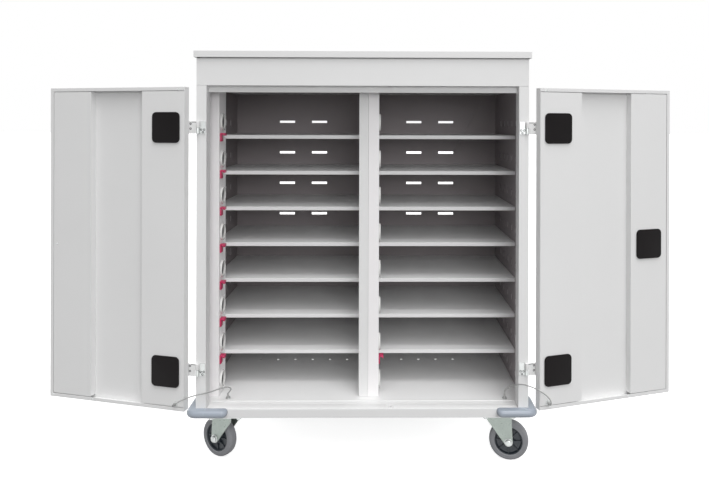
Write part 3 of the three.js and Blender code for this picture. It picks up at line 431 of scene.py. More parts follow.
def effect(name, inputs, build):
    """A node group with the given inputs that puts out Color, Roughness and Height; it is built only once."""
    if name in bpy.data.node_groups:
        return bpy.data.node_groups[name]
    group = bpy.data.node_groups.new(name, "ShaderNodeTree")
    group.interface.new_socket("Vector", in_out="INPUT", socket_type="NodeSocketVector")
    colour = group.interface.new_socket("Color", in_out="INPUT", socket_type="NodeSocketColor")
    colour.default_value = (0.5, 0.5, 0.5, 1)
    for key, value in inputs.items():
        group.interface.new_socket(key, in_out="INPUT", socket_type="NodeSocketFloat").default_value = value
    group.interface.new_socket("Color", in_out="OUTPUT", socket_type="NodeSocketColor")
    group.interface.new_socket("Roughness", in_out="OUTPUT", socket_type="NodeSocketFloat")
    group.interface.new_socket("Height", in_out="OUTPUT", socket_type="NodeSocketFloat")
    enter = group.nodes.new("NodeGroupInput")
    leave = group.nodes.new("NodeGroupOutput")
    for key, value in zip(("Color", "Roughness", "Height"), build(group, enter.outputs)):
        group.links.new(value, leave.inputs[key])
    return group


def noise(tree, vector, scale, detail=2.0):
    """A noise value about a half, with spots about one over the scale in metres."""
    return node(
        tree, "ShaderNodeTexNoise", {"Vector": vector, "Scale": scale, "Detail": detail, "Roughness": 0.55}
    ).outputs["Fac"]


def spread(tree, value, low, high, start=0.3, stop=0.7):
    """A value between start and stop, spread over low to high."""
    return node(
        tree,
        "ShaderNodeMapRange",
        {"Value": value, "From Min": start, "From Max": stop, "To Min": low, "To Max": high},
    ).outputs["Result"]


def maths(tree, operation, a, b):
    """One step of arithmetic."""
    return node(tree, "ShaderNodeMath", {0: a, 1: b}, operation=operation).outputs[0]


def shaded(tree, colour, value):
    """A colour made darker or lighter by a factor about one."""
    return node(tree, "ShaderNodeHueSaturation", {"Value": value, "Color": colour}).outputs["Color"]


def looked_at(tree):
    """One where the camera, a reflection or glass looks, and nothing for the light that falls on other things."""
    path = node(tree, "ShaderNodeLightPath").outputs
    seen = maths(tree, "MAXIMUM", path["Is Camera Ray"], path["Is Glossy Ray"])
    return maths(tree, "MAXIMUM", seen, path["Is Transmission Ray"])


def build_coat(tree, given):
    """Powder coat: the tone clouds slowly over a sheet, fine flecks lie in it, and its skin is pebbled like peel."""
    cloud = spread(tree, noise(tree, given["Vector"], 4.0, 3.0), -1.0, 1.0)
    fleck = spread(tree, noise(tree, given["Vector"], 520.0), -0.6, 0.6)
    tone = maths(tree, "MULTIPLY", maths(tree, "ADD", cloud, fleck), given["Tone"])
    colour = shaded(tree, given["Color"], maths(tree, "ADD", tone, 1.0))
    sheen = spread(tree, noise(tree, given["Vector"], 90.0), -0.05, 0.06)
    peel = noise(tree, given["Vector"], 760.0, 1.0)
    return colour, maths(tree, "ADD", given["Sheen"], sheen), peel


def build_moulding(tree, given):
    """Moulded plastic: a fine spark-eroded grain of small cells, a faint flow of tone, and sheen on the high spots."""
    cells = node(
        tree, "ShaderNodeTexVoronoi", {"Vector": given["Vector"], "Scale": given["Grain"]}, feature="SMOOTH_F1"
    ).outputs["Distance"]
    flow = spread(tree, noise(tree, given["Vector"], 22.0, 3.0), -1.0, 1.0)
    speck = spread(tree, cells, -0.5, 0.5, 0.1, 0.7)
    tone = maths(tree, "MULTIPLY", maths(tree, "ADD", flow, speck), given["Tone"])
    colour = shaded(tree, given["Color"], maths(tree, "ADD", tone, 1.0))
    sheen = maths(tree, "ADD", given["Sheen"], spread(tree, flow, -0.05, 0.05, -1.0, 1.0))
    return colour, sheen, cells


def build_plating(tree, given):
    """Zinc plate: crystals of slightly different tone, cloudy passivation, and faint rolling lines in the sheet."""
    crystal = node(
        tree, "ShaderNodeTexVoronoi", {"Vector": given["Vector"], "Scale": given["Grain"]}, feature="F1"
    ).outputs["Color"]
    shade = node(tree, "ShaderNodeSeparateColor", {"Color": crystal}).outputs["Red"]
    cloud = spread(tree, noise(tree, given["Vector"], 45.0, 3.0), -1.0, 1.0)
    drawn = node(tree, "ShaderNodeMapping", {"Vector": given["Vector"], "Scale": (40.0, 40.0, 1500.0)}).outputs[0]
    line = noise(tree, drawn, 1.0, 2.0)
    tone = maths(tree, "ADD", cloud, spread(tree, shade, -0.7, 0.7, 0.0, 1.0))
    colour = shaded(tree, given["Color"], maths(tree, "ADD", maths(tree, "MULTIPLY", tone, given["Tone"]), 1.0))
    sheen = maths(tree, "ADD", given["Sheen"], spread(tree, maths(tree, "ADD", shade, line), -0.07, 0.08, 0.4, 1.6))
    return colour, sheen, line


def build_rubber(tree, given):
    """Rubber: a dusty bloom in soft clouds over a fine dull skin."""
    bloom = spread(tree, noise(tree, given["Vector"], 70.0, 4.0), -1.0, 1.0)
    skin = noise(tree, given["Vector"], given["Grain"], 3.0)
    tone = maths(tree, "ADD", bloom, spread(tree, skin, -0.5, 0.5))
    colour = shaded(tree, given["Color"], maths(tree, "ADD", maths(tree, "MULTIPLY", tone, given["Tone"]), 1.0))
    return colour, maths(tree, "ADD", given["Sheen"], spread(tree, bloom, -0.06, 0.06, -1.0, 1.0)), skin


EFFECTS = {
    "coat": ("Coat skin", {"Tone": 0.012, "Sheen": 0.5}, build_coat),
    "moulding": ("Moulded grain", {"Tone": 0.04, "Sheen": 0.5, "Grain": 900.0}, build_moulding),
    "plating": ("Zinc crystals", {"Tone": 0.05, "Sheen": 0.34, "Grain": 420.0}, build_plating),
    "rubber": ("Rubber skin", {"Tone": 0.06, "Sheen": 0.72, "Grain": 700.0}, build_rubber),
}


def finish(name, kind, colour, bump=0.05, depth=0.0002, shader=None, **values):
    """A material: an effect on Object coordinates feeds the shader's colour, roughness and bump."""
    if name in bpy.data.materials:
        return bpy.data.materials[name]
    made = bpy.data.materials.new(name)
    made.use_nodes = True
    tree = made.node_tree
    tree.nodes.clear()
    place_in = node(tree, "ShaderNodeTexCoord").outputs["Object"]
    group = effect(*EFFECTS[kind])
    skin = node(tree, "ShaderNodeGroup", node_tree=group)
    tree.links.new(place_in, skin.inputs["Vector"])
    skin.inputs["Color"].default_value = (*colour, 1)
    for key, value in values.items():
        skin.inputs[key].default_value = value
    relief = node(tree, "ShaderNodeBump", {"Strength": bump, "Distance": depth, "Height": skin.outputs["Height"]})
    surface = node(
        tree,
        "ShaderNodeBsdfPrincipled",
        {
            "Base Color": skin.outputs["Color"],
            "Roughness": skin.outputs["Roughness"],
            "Normal": relief.outputs["Normal"],
            **(shader or {}),
        },
    )
    node(tree, "ShaderNodeOutputMaterial", {"Surface": surface.outputs[0]})
    return made


def coat_finish():
    """Light grey powder coat on the cabinet and doors."""
    return finish(
        "coated_steel", "coat", bpy.context.scene.cart_finishes.coat, bump=0.06, shader={"Specular IOR Level": 0.4}
    )


def lightened_channel_finish():
    """The coat of the two power channels, whiter than the cabinet's as painted light on their shaded faces."""
    return finish(
        "channel_painted_light", "coat", bpy.context.scene.cart_finishes.channel, bump=0.06, shader={"Specular IOR Level": 0.4}
    )


def interior_shade_finish():
    """Painted shade inside the cabinet: a greyer coat standing in for the shade on the pale coat."""
    return finish(
        "interior_painted_shade", "coat", bpy.context.scene.cart_finishes.interior_shade, bump=0.06, shader={"Specular IOR Level": 0.3},
        Tone=0.02, Sheen=0.5,
    )


def back_shade_finish():
    """Painted shade on the inner face of the back panel, and the pale coat from the middle of the sheet outwards."""
    made = finish(
        "back_sheet_painted_shade", "coat", bpy.context.scene.cart_finishes.interior_shade, bump=0.06, shader={"Specular IOR Level": 0.3},
        Tone=0.02,
    )
    tree = made.node_tree
    skin = next(part for part in tree.nodes if part.type == "GROUP")
    where = node(tree, "ShaderNodeSeparateXYZ", {0: skin.inputs["Vector"].links[0].from_socket}).outputs["Y"]
    # The inner half of the sheet takes the painted shade, the outer half the pale coat.
    outside = maths(tree, "GREATER_THAN", where, BACK_MIDDLE / 1000)
    colours = {6: (*bpy.context.scene.cart_finishes.interior_shade, 1), 7: (*bpy.context.scene.cart_finishes.coat, 1)}
    mixed = node(tree, "ShaderNodeMix", data_type="RGBA")
    for key, value in colours.items():
        mixed.inputs[key].default_value = value
    tree.links.new(outside, mixed.inputs[0])
    tree.links.new(mixed.outputs[2], skin.inputs["Color"])
    return made


def cover_finish():
    """Matt black moulded plastic, also used as painted shade in the socket pin holes and the lock's keyway."""
    return finish(
        "black_cover", "moulding", bpy.context.scene.cart_finishes.cover, bump=0.22, shader={"Specular IOR Level": 0.1},
        Tone=0.08, Sheen=0.46,
    )


def zinc_finish():
    """Bright zinc plate."""
    return finish(
        "zinc_plate", "plating", bpy.context.scene.cart_finishes.plating, bump=0.08, shader={"Metallic": 0.85}
    )


def screw_finish():
    """Dark screws, and the painted shade strip on each hinge arm."""
    return finish("dark_screw", "plating", bpy.context.scene.cart_finishes.screw, shader={"Metallic": 0.5}, Sheen=0.42)


def fork_finish():
    """Zinc plate with a darker, greenish passivation."""
    return finish("fork_plate", "plating", bpy.context.scene.cart_finishes.fork, bump=0.08, shader={"Metallic": 0.7})


def tyre_finish():
    """Grey tyre rubber."""
    return finish("tyre_rubber", "rubber", bpy.context.scene.cart_finishes.tyre, bump=0.2, depth=0.0003)


def centre_finish():
    """Dark plastic wheel centre."""
    return finish("wheel_centre", "moulding", bpy.context.scene.cart_finishes.centre, bump=0.12, Sheen=0.38)


def bumper_finish():
    """Soft blue-grey bumper plastic with a clear gloss."""
    return finish(
        "bumper_plastic", "moulding", bpy.context.scene.cart_finishes.bumper, bump=0.04,
        shader={"Specular IOR Level": 0.35}, Sheen=0.24, Tone=0.03,
    )


def clip_finish():
    """Dyed clip plastic."""
    return finish("clip_plastic", "moulding", bpy.context.scene.cart_finishes.clip, bump=0.06, Sheen=0.36, Tone=0.06)


def socket_finish():
    """Glossy pale socket plastic."""
    return finish("socket_plastic", "moulding", bpy.context.scene.cart_finishes.socket, bump=0.03, Sheen=0.22)


def socket_shade_finish():
    """Pale socket plastic darkened as painted shade inside a socket."""
    return finish("socket_cup_painted_shade", "moulding", bpy.context.scene.cart_finishes.cup, bump=0.03, Sheen=0.3)


def contact_finish():
    """Plated spring contacts."""
    return finish(
        "contact_metal", "plating", bpy.context.scene.cart_finishes.contact, shader={"Metallic": 1.0}, Sheen=0.28
    )


def lead_finish():
    """Grey lead sheath."""
    return finish("lead_sheath", "rubber", bpy.context.scene.cart_finishes.lead, bump=0.1, Sheen=0.5, Tone=0.03)


# Operators


class StageOperator(bpy.types.Operator):
    """Sets up the camera, the lights, the white surround and the pale floor"""

    bl_idname = "cart.stage"
    bl_label = "Stage"

    def execute(self, context):
        """Makes the stage."""
        stage = context.scene.cart_stage
        context.scene.view_settings.view_transform = "Standard"
        camera = bpy.data.cameras.new("camera")
        camera.lens = stage.lens
        camera.sensor_width = 36
        camera.shift_x, camera.shift_y = stage.shift
        camera.clip_end = 100
        stand = bpy.data.objects.new("camera", camera)
        stand.location = stage.camera_place
        aside, down, roll = stage.turn
        stand.rotation_euler = (math.pi / 2 - down, roll, -aside)
        context.scene.collection.objects.link(stand)
        context.scene.camera = stand
        self.light("slanting", stage.key_from, 44, stage.key)
        self.light("overhead", (0.05, -0.27, 0.96), 30, stage.above)
        self.light("behind_left", (-0.85, 0.6, 0.1), 50, stage.back)
        self.light("behind_right", (0.85, 0.6, 0.1), 50, stage.back)
        self.front(stage.front)
        self.surround(context, stage.ambient)
        self.floor(context)
        return {"FINISHED"}

    @staticmethod
    def light(name, comes_from, softness, strength):
        """A far light as wide as the given angle in degrees, coming from a direction."""
        lamp = bpy.data.lights.new(name, "SUN")
        lamp.angle = math.radians(softness)
        lamp.energy = strength
        back = np.array(comes_from) / np.linalg.norm(comes_from)
        across = np.cross((0, 0, 1), back)
        across /= np.linalg.norm(across)
        stand = bpy.data.objects.new(name, lamp)
        stand.matrix_world = Matrix(axes(4 * back, across, np.cross(back, across), back).tolist())
        bpy.context.scene.collection.objects.link(stand)

    @staticmethod
    def front(watts):
        """A broad lamp just over the camera, facing the cart."""
        lamp = bpy.data.lights.new("front", "AREA")
        lamp.shape = "RECTANGLE"
        lamp.size = 1.6
        lamp.size_y = 0.9
        lamp.energy = watts
        stand = bpy.data.objects.new("front", lamp)
        stand.matrix_world = Matrix(axes((0.6, -3.2, 1.35), (1, 0, 0), (0, 0.1736, 0.9848), (0, -0.9848, 0.1736)).tolist())
        bpy.context.scene.collection.objects.link(stand)

    @staticmethod
    def surround(context, ambient):
        """White where the camera, a reflection or glass looks out, and a plain dim light for the rest."""
        world = bpy.data.worlds.new("surround")
        world.use_nodes = True
        context.scene.world = world
        tree = world.node_tree
        tree.nodes.clear()
        looked = looked_at(tree)
        dim = node(tree, "ShaderNodeBackground", {"Color": (1, 1, 1, 1), "Strength": ambient}).outputs[0]
        white = node(tree, "ShaderNodeBackground", {"Color": (1, 1, 1, 1), "Strength": 1.0}).outputs[0]
        mixed = node(tree, "ShaderNodeMixShader", {0: looked, 1: dim, 2: white}).outputs[0]
        node(tree, "ShaderNodeOutputWorld", {"Surface": mixed})

    @staticmethod
    def floor(context):
        """A flat floor, x and y over a square grid, that takes the shadow and reads white to the camera."""
        reach = np.linspace(-60000, 60000, 25)
        x, y = np.meshgrid(reach, reach)
        points = np.stack([x, y, 0 * x - 0.3], -1).reshape(-1, 3)
        material = bpy.data.materials.new("pale_floor")
        material.use_nodes = True
        material.cycles.emission_sampling = "NONE"
        tree = material.node_tree
        tree.nodes.clear()
        where = node(tree, "ShaderNodeTexCoord").outputs["Object"]
        tone = spread(tree, noise(tree, where, 1.5), 0.86, 0.88)
        looked = looked_at(tree)
        glow = node(tree, "ShaderNodeEmission", {"Color": (1, 1, 1, 1), "Strength": 0.72}).outputs[0]
        matt = node(tree, "ShaderNodeBsdfDiffuse", {"Color": tone}).outputs[0]
        seen = node(tree, "ShaderNodeAddShader", {0: matt, 1: glow}).outputs[0]
        unseen = node(tree, "ShaderNodeBsdfDiffuse", {"Color": (0.16, 0.16, 0.16, 1)}).outputs[0]
        both = node(tree, "ShaderNodeMixShader", {0: looked, 1: unseen, 2: seen}).outputs[0]
        node(tree, "ShaderNodeOutputMaterial", {"Surface": both})
        floor = piece("pale_floor", (points, [grid_faces(25, 25, loop=False)]), None, material)


# The two stretches of a lead meet this far from the middle, and lap by this many points
LEAD_PARTING = 422.0
LEAD_LAP = 9

LEAD_ROUTES = {
    "left": [
        (-460.4, -272.2, 172), (-462, -278.4, 172), (-459, -285.5, 176), (-447, -285.5, 184), (-431, -277, 189),
        (-413, -268, 192), (-395, -259.5, 193), (-378, -246, 192.5), (-360, -222, 191), (-347, -204, 187),
        (-341, -192, 178), (-345, -185, 169), (-350, -184, 161.5), (-350, -184, 154.3),
    ],
    "right": [
        (461, -270.4, 172), (462.9, -276.5, 172), (463.5, -284, 178), (459, -288, 189), (450, -286, 199),
        (437, -280, 206), (423, -272, 211), (409, -267, 214.5), (396, -259.5, 214.5), (383.5, -248.5, 209),
        (375.5, -231, 199), (370, -210, 186), (367, -196, 173), (367, -190, 162), (367, -190, 154.3),
    ],
}


class EarthLeadOperator(bpy.types.Operator):
    """Lays the earth lead of each door in two stretches, with the boot and nut on the stud at each end

    The door's stretch turns with the door, and the floor's stretch stays with the cabinet; the two lap where they meet.
    """

    bl_idname = "cart.earth_leads"
    bl_label = "Earth leads"

    def execute(self, context):
        """Makes both leads."""
        diameter = context.scene.cart_sizes.lead_diameter * 1000
        boot = revolve(
            rounded_profile([(0, -4.2), (4.3, -4.2), (4.3, 0.6), (2.6, 2.0), (2.1, 9.0), (0, 9.0)], 0.8), 20
        )
        nut = slab(polygon(6.4, 6), -4.1, -1.4, 0.5)
        for side in SIDES:
            path = route_curve(LEAD_ROUTES[side], 2.0)
            parting = int(np.argmax(np.abs(path[:, 0]) < LEAD_PARTING))
            inner, outer = path[parting:], path[:parting + LEAD_LAP]
            lead = piece(f"{side}_lead", tube(inner, diameter / 2, 12), "cabinet", lead_finish())
            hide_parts(f"{side}_earth_lead")
            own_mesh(lead)
            thin = 0.94 * diameter
            tail = piece(f"{side}_lead_door_end", tube(outer, thin / 2, 12), f"{side}_door", lead_finish())
            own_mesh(tail)
            ends = {f"{side}_door": (path[0], path[1]), "cabinet": (path[-1], path[-2])}
            for body, (end, near) in ends.items():
                out = (near - end) / np.linalg.norm(near - end)
                flat = np.cross(out, (1, 0, 0) if abs(out[0]) < 0.7 else (0, 1, 0))
                flat /= np.linalg.norm(flat)
                stand = axes(end, flat, np.cross(out, flat), out)
                where = "door" if "door" in body else "floor"
                piece(f"{side}_lead_{where}_boot", place(boot, stand), body, lead_finish())
                piece(f"{side}_lead_{where}_nut", place(nut, stand), body, zinc_finish())
        return {"FINISHED"}


def eased(name, width):
    """Rounds a CAD node's edges: its loose triangles are welded, and every fold is given a narrow round."""
    solid = frame["nodes"][name]
    weld = solid.modifiers.new("weld", "WELD")
    weld.merge_threshold = 1e-5
    bevel = solid.modifiers.new("round", "BEVEL")
    bevel.width = width
    bevel.segments = 2
    bevel.limit_method = "ANGLE"
    bevel.angle_limit = math.radians(32)
    bevel.use_clamp_overlap = False
    even = solid.modifiers.new("level faces", "WEIGHTED_NORMAL")
    even.weight = 100
    return solid


def dressed(name, material, width):
    """Gives a CAD node its finish and its rounded edges."""
    solid = eased(name, width)
    solid.data.materials.clear()
    solid.data.materials.append(material)


class SteelOperator(bpy.types.Operator):
    """Coats the cabinet and doors, and rounds the folds of their sheets"""

    bl_idname = "cart.steel"
    bl_label = "Coated steel"

    def execute(self, context):
        """Coats every sheet."""
        width = context.scene.cart_sizes.fold_radius
        for name, slot in NODE_SLOTS.items():
            if slot == "powder_coat":
                # The liners and the back panel take the painted shade of the interior.
                skins = {"liner": interior_shade_finish, "channel": lightened_channel_finish, "back_panel": back_shade_finish}
                # The power channels take the coat lightened as painted light.
                skin = next((skin for ending, skin in skins.items() if name.endswith(ending)), coat_finish)
                dressed(name, skin(), width)
        return {"FINISHED"}


class PlatedOperator(bpy.types.Operator):
    """Plates the caster rails, forks, hinge leaves and lock rods, and adds races, bolts, washers and screws"""

    bl_idname = "cart.plated"
    bl_label = "Plated metal"

    def execute(self, context):
        """Plates every zinc part and adds its fasteners."""
        sizes = context.scene.cart_sizes
        for name, slot in NODE_SLOTS.items():
            if slot == "zinc":
                fork = "fork" in name
                dressed(name, fork_finish() if fork else zinc_finish(), sizes.plate_radius if fork else sizes.fold_radius)
        self.casters()
        self.hinges()
        return {"FINISHED"}

    @staticmethod
    def casters():
        """Swivel races and plate bolts on the rails, and washers and domed nuts on the axles."""
        race = revolve(
            rounded_profile(
                [(0, 118.4), (23.5, 118.4), (27.6, 119.6), (27.6, 121.0), (26.2, 122.0), (27.6, 123.0), (27.6, 124.8),
                 (0, 124.8)], 0.9), 48,
        )
        head = join(slab(polygon(6.6, 6), -5.2, 0.2, 0.7), revolve([(0, -1.3), (8.2, -1.3), (8.2, 0.2), (0, 0.2)], 24))
        nut = revolve(
            rounded_profile([(0, -0.3), (10.4, -0.3), (10.4, 1.3), (8.2, 1.3), (8.2, 5.4), (5.0, 7.4), (0, 7.8)], 1.2), 32
        )
        for corner in CORNERS:
            pivot = np.array(JOINTS[f"{corner}_swivel"]["pos_m"]) * 1000
            stand = axes((pivot[0], pivot[1], 0), (1, 0, 0), (0, 1, 0), (0, 0, 1))
            bolts = [axes((x, y, 124.5), (1, 0, 0), (0, 1, 0), (0, 0, 1)) for x in (-34, 34) for y in (-43, 43)]
            shapes = [place(race, stand)] + [place(head, stand @ bolt) for bolt in bolts]
            piece(f"{corner}_swivel_race", join(*shapes), "cabinet", zinc_finish())
            nuts = [place(nut, along_axle(corner, side * 19.8, side)) for side in (-1, 1)]
            piece(f"{corner}_axle_nuts", join(*nuts), f"{corner}_fork", zinc_finish())

    @staticmethod
    def hinges():
        """Round barrels over both halves of each hinge, sunk screws on its leaf and its arm, and a dark strip on the
        arm as painted shade of the gap along its top edge.
        """
        barrel = rounded_profile([(0, 0.15), (4.25, 0.15), (4.25, 15.4), (0, 15.8)], 0.7)
        upper = revolve(barrel, 28)
        lower = place(upper, np.diag([1.0, 1.0, -1.0, 1.0]))
        screw = revolve([(0, -0.6), (2.9, -0.6), (2.9, 0.04), (2.7, 0.1), (1.3, 0.1), (1.1, -0.4), (0, -0.4)], 20)
        # A dark strip along the top of the arm: painted shade standing in for the shadow gap there.
        gap_shade_strip = slab(rounded_rectangle(15, 1.3, 0.5, 2), -0.3, 0.1, 0.08, 1)
        for side, sign in SIDES.items():
            x, y, _ = np.array(JOINTS[f"{side}_door_hinge"]["pos_m"]) * 1000
            for level, height in HINGE_HEIGHTS.items():
                name = f"{side}_{level}"
                stand = axes((x, y, height), (1, 0, 0), (0, 1, 0), (0, 0, 1))
                piece(f"{name}_door_barrel", place(upper, stand), f"{side}_door", coat_finish())
                piece(f"{name}_frame_barrel", place(lower, stand), "cabinet", zinc_finish())
                seats = [
                    axes((sign * across, -252.3, height + rise), (1, 0, 0), (0, 0, 1), (0, -1, 0))
                    for across, rise in ((395.0, -5.5), (402.5, -5.5), (398.0, -12.0))
                ]
                piece(f"{name}_leaf_screws", place(screw, *seats), "cabinet", screw_finish())
                seats = [on_door(side, 18.5, 2.4, height + rise) for rise in (-3.0, 9.5)]
                marks = [place(screw, *seats), place(gap_shade_strip, on_door(side, 8.5, 2.4, height + 13.2))]
                piece(f"{name}_arm_screws_and_gap_shade", join(*marks), f"{side}_door", screw_finish())


class WheelOperator(bpy.types.Operator):
    """Makes the caster wheels: a tyre with round shoulders on a ribbed plastic centre"""

    bl_idname = "cart.wheels"
    bl_label = "Wheels"

    def execute(self, context):
        """Makes four tyres and four centres."""
        shoulder = context.scene.cart_sizes.tyre_shoulder * 1000
        half = [(35.2, 11.6), (36.4, 12.9), (38.6, 13.3), (40.0, 12.7), (50 - shoulder, 12.9), (49.2, 9.4), (50, 0)]
        upper = rounded_profile(half, shoulder * 0.55, 5)
        lower = upper[::-1][1:] * (1, -1)
        tyre = revolve_ring(np.concatenate([upper, lower])[::-1], 72)
        hub = [(5.8, 0), (5.8, 15.9), (12.6, 15.9), (13.6, 14.6), (14.6, 5.4), (31.2, 5.2), (33.4, 11.2), (35.6, 11.9)]
        upper = np.concatenate([rounded_profile(hub, 1.4, 3), [(35.9, 0)]])
        lower = upper[::-1][1:-1] * (1, -1)
        centre = revolve_ring(np.concatenate([upper, lower])[::-1], 60)
        rib = slab(np.array([(13.0, 4.8), (32.6, 4.8), (32.6, 8.6), (24.0, 7.6), (13.0, 12.6)]), -1.2, 1.2, 0.4, 2)
        turns = np.radians(np.arange(0, 360, 45))
        ribs = [
            place(rib, axes((0, 0, 0), (math.cos(t), math.sin(t), 0), (0, 0, side), (math.sin(t), -math.cos(t), 0)))
            for t in turns
            for side in (-1, 1)
        ]
        centre = join(centre, *ribs)
        for corner in CORNERS:
            stand = along_axle(corner)
            wheel = f"{corner}_wheel"
            piece(f"{corner}_tyre", place(tyre, stand), wheel, tyre_finish(), [f"{corner}_caster_wheel"])
            piece(f"{corner}_wheel_centre", place(centre, stand), wheel, centre_finish())
        return {"FINISHED"}


class BumperOperator(bpy.types.Operator):
    """Makes the soft corner bumpers round the base"""

    bl_idname = "cart.bumpers"
    bl_label = "Bumpers"

    def execute(self, context):
        """Makes four bumpers."""
        edge = context.scene.cart_sizes.bumper_round * 1000
        a = np.linspace(0, np.pi / 2, 7)
        inset = np.r_[1.3 * edge * (1 - np.sin(a)), edge * (1 - np.sin(a[::-1]))]
        height = np.r_[134 + edge * (1 - np.cos(a)), 153 - edge * (1 - np.cos(a[::-1]))]
        rings = np.array([np.c_[self.outline(i), np.full(len(self.outline(i)), h)] for i, h in zip(inset, height)])
        bumper = loft(rings)
        for corner in CORNERS:
            x = -1 if "left" in corner else 1
            y = -1 if "front" in corner else 1
            stand = axes((0, 0, 0), (x, 0, 0), (0, y, 0), (0, 0, 1))
            end, side = corner.split("_")
            piece(
                f"{corner}_pad", place(bumper, stand), "cabinet", bumper_finish(), [f"{end}_{side}_bumper"]
            )
        return {"FINISHED"}

    @staticmethod
    def outline(inset):
        """The plan of a bumper at one height: two arms with round ends and a round corner, its outer side drawn
        in by the inset while its inner side stays on the base."""
        x, y, proud, arm, corner, end = 415.3, 250.3, 22.0, 80.0, 26.0, 13.2
        out_x, out_y = x + proud, y + proud
        tip = end - inset
        return np.concatenate([
            arc((out_x - corner, out_y - corner), corner - inset, 0, 90, 14),
            arc((x - arm + end, out_y - end), tip, 90, 180, 8),
            [(x - arm + inset, y), (x, y), (x, y - arm + inset)],
            arc((out_x - end, y - arm + end), tip, 270, 360, 8),
        ])


class CoverOperator(bpy.types.Operator):
    """Makes the black covers on the door insides"""

    bl_idname = "cart.covers"
    bl_label = "Covers"

    def execute(self, context):
        """Makes five covers."""
        edge = context.scene.cart_sizes.cover_edge * 1000
        cover = slab(rounded_rectangle(76, 76, 11), 0, 4, edge, 4)
        for side in SIDES:
            for level, height in HINGE_HEIGHTS.items():
                shape = place(cover, on_door(side, 72, 25.3, height))
                node_name = f"{side}_{level}_hinge_cover"
                piece(f"{node_name}_face", shape, f"{side}_door", cover_finish(), [node_name])
        shape = place(cover, on_door("right", 341.5, 25.3, 551))
        piece("lock_cover_face", shape, "right_door", cover_finish(), ["lock_cover"])
        return {"FINISHED"}


class SocketOperator(bpy.types.Operator):
    """Makes the round sockets on the power channels, with cups and pin holes darkened as painted shade, and their earth
    contacts
    """

    bl_idname = "cart.sockets"
    bl_label = "Sockets"

    def execute(self, context):
        """Makes a socket on each channel at each level."""
        section = [(17.3, -0.4), (22.6, -0.4), (22.6, 3.3), (21.6, 4.5), (18.6, 4.5), (17.3, 3.1)]
        flange = revolve_ring(rounded_profile(section, 0.8, 3), 44)
        profile = [(0, -11.6), (17.8, -11.6), (17.8, -0.6), (17.25, -0.5), (17.25, -10.7), (0, -10.7)]
        cup = revolve(rounded_profile(profile, 0.25, 1), 44)
        # Black discs at the bottom of each cup: painted shade standing in for the pin holes.
        hole = revolve([(0, -10.9), (2.6, -10.9), (2.6, -10.45), (0, -10.45)], 16)
        contact = slab(rounded_rectangle(6.4, 11, 0.8, 2), -0.5, 0.5, 0.3, 1)
        for column in SIDES:
            faces = [socket_face(column, level) for level in range(8)]
            piece(f"{column}_socket_rims", place(flange, *faces), "cabinet", socket_finish())
            # The cups are darkened as painted shade.
            piece(f"{column}_socket_cups", place(cup, *faces), "cabinet", socket_shade_finish())
            pins = [face @ axes((x, 0, 0), (1, 0, 0), (0, 1, 0), (0, 0, 1)) for face in faces for x in (-9.5, 9.5)]
            piece(f"{column}_socket_pin_hole_shades", place(hole, *pins), "cabinet", cover_finish())
            springs = [
                face @ axes((0, side * 16.7, -4.6), (1, 0, 0), (0, 0, -side), (0, side, 0))
                for face in faces
                for side in (-1, 1)
            ]
            piece(f"{column}_socket_contacts", place(contact, *springs), "cabinet", contact_finish())
        return {"FINISHED"}


class ClipOperator(bpy.types.Operator):
    """Makes the cable clips at the shelf fronts"""

    bl_idname = "cart.clips"
    bl_label = "Cable clips"

    def execute(self, context):
        """Makes seven clips on the left channel and one on the right."""
        grow = 0.4
        hook = np.array([(-0.4, -10.5), (3, -10.5), (3, 7.5), (9, 7.5), (9, 4.5), (12, 4.5), (12, 10.5), (-0.4, 10.5)])
        hook = drawn_in(hook, -grow)
        clip = slab(hook, -10.5 - grow, 10.5 + grow, 0.8)
        for column, tops in (("left", SHELF_TOPS), ("right", SHELF_TOPS[:1])):
            face = CHANNEL_FACES[column]
            stands = [axes((face, -155.5, top - 5), (1, 0, 0), (0, 0, 1), (0, 1, 0)) for top in tops]
            piece(f"{column}_cable_clips", place(clip, *stands), "cabinet", clip_finish())
        return {"FINISHED"}


class VentOperator(bpy.types.Operator):
    """Presses a raised lip round each vent in the liners"""

    bl_idname = "cart.vents"
    bl_label = "Vent lips"

    def execute(self, context):
        """Makes the lips on both liners."""
        lip = context.scene.cart_sizes.vent_lip * 1000
        path = np.concatenate([arc((6, 0), 6, -90, 90, 8), arc((-6, 0), 6, 90, 270, 8)])
        t = np.linspace(0, 2 * np.pi, 10, endpoint=False)
        section = np.c_[lip * (0.45 + 0.55 * np.cos(t)), 0.7 * np.sin(t)]
        rim = lip_round(path, section)
        for side, sign in SIDES.items():
            columns = range(5) if side == "right" else range(1, 5)
            stands = [
                axes((sign * 412, -107 + 54.75 * i, level + 33), (0, 0, 1), (0, sign, 0), (-sign, 0, 0))
                for level in LEVELS
                for i in columns
            ]
            # The lips take the painted shade of the interior.
            piece(f"{side}_vent_lips", place(rim, *stands), "cabinet", interior_shade_finish())
        return {"FINISHED"}


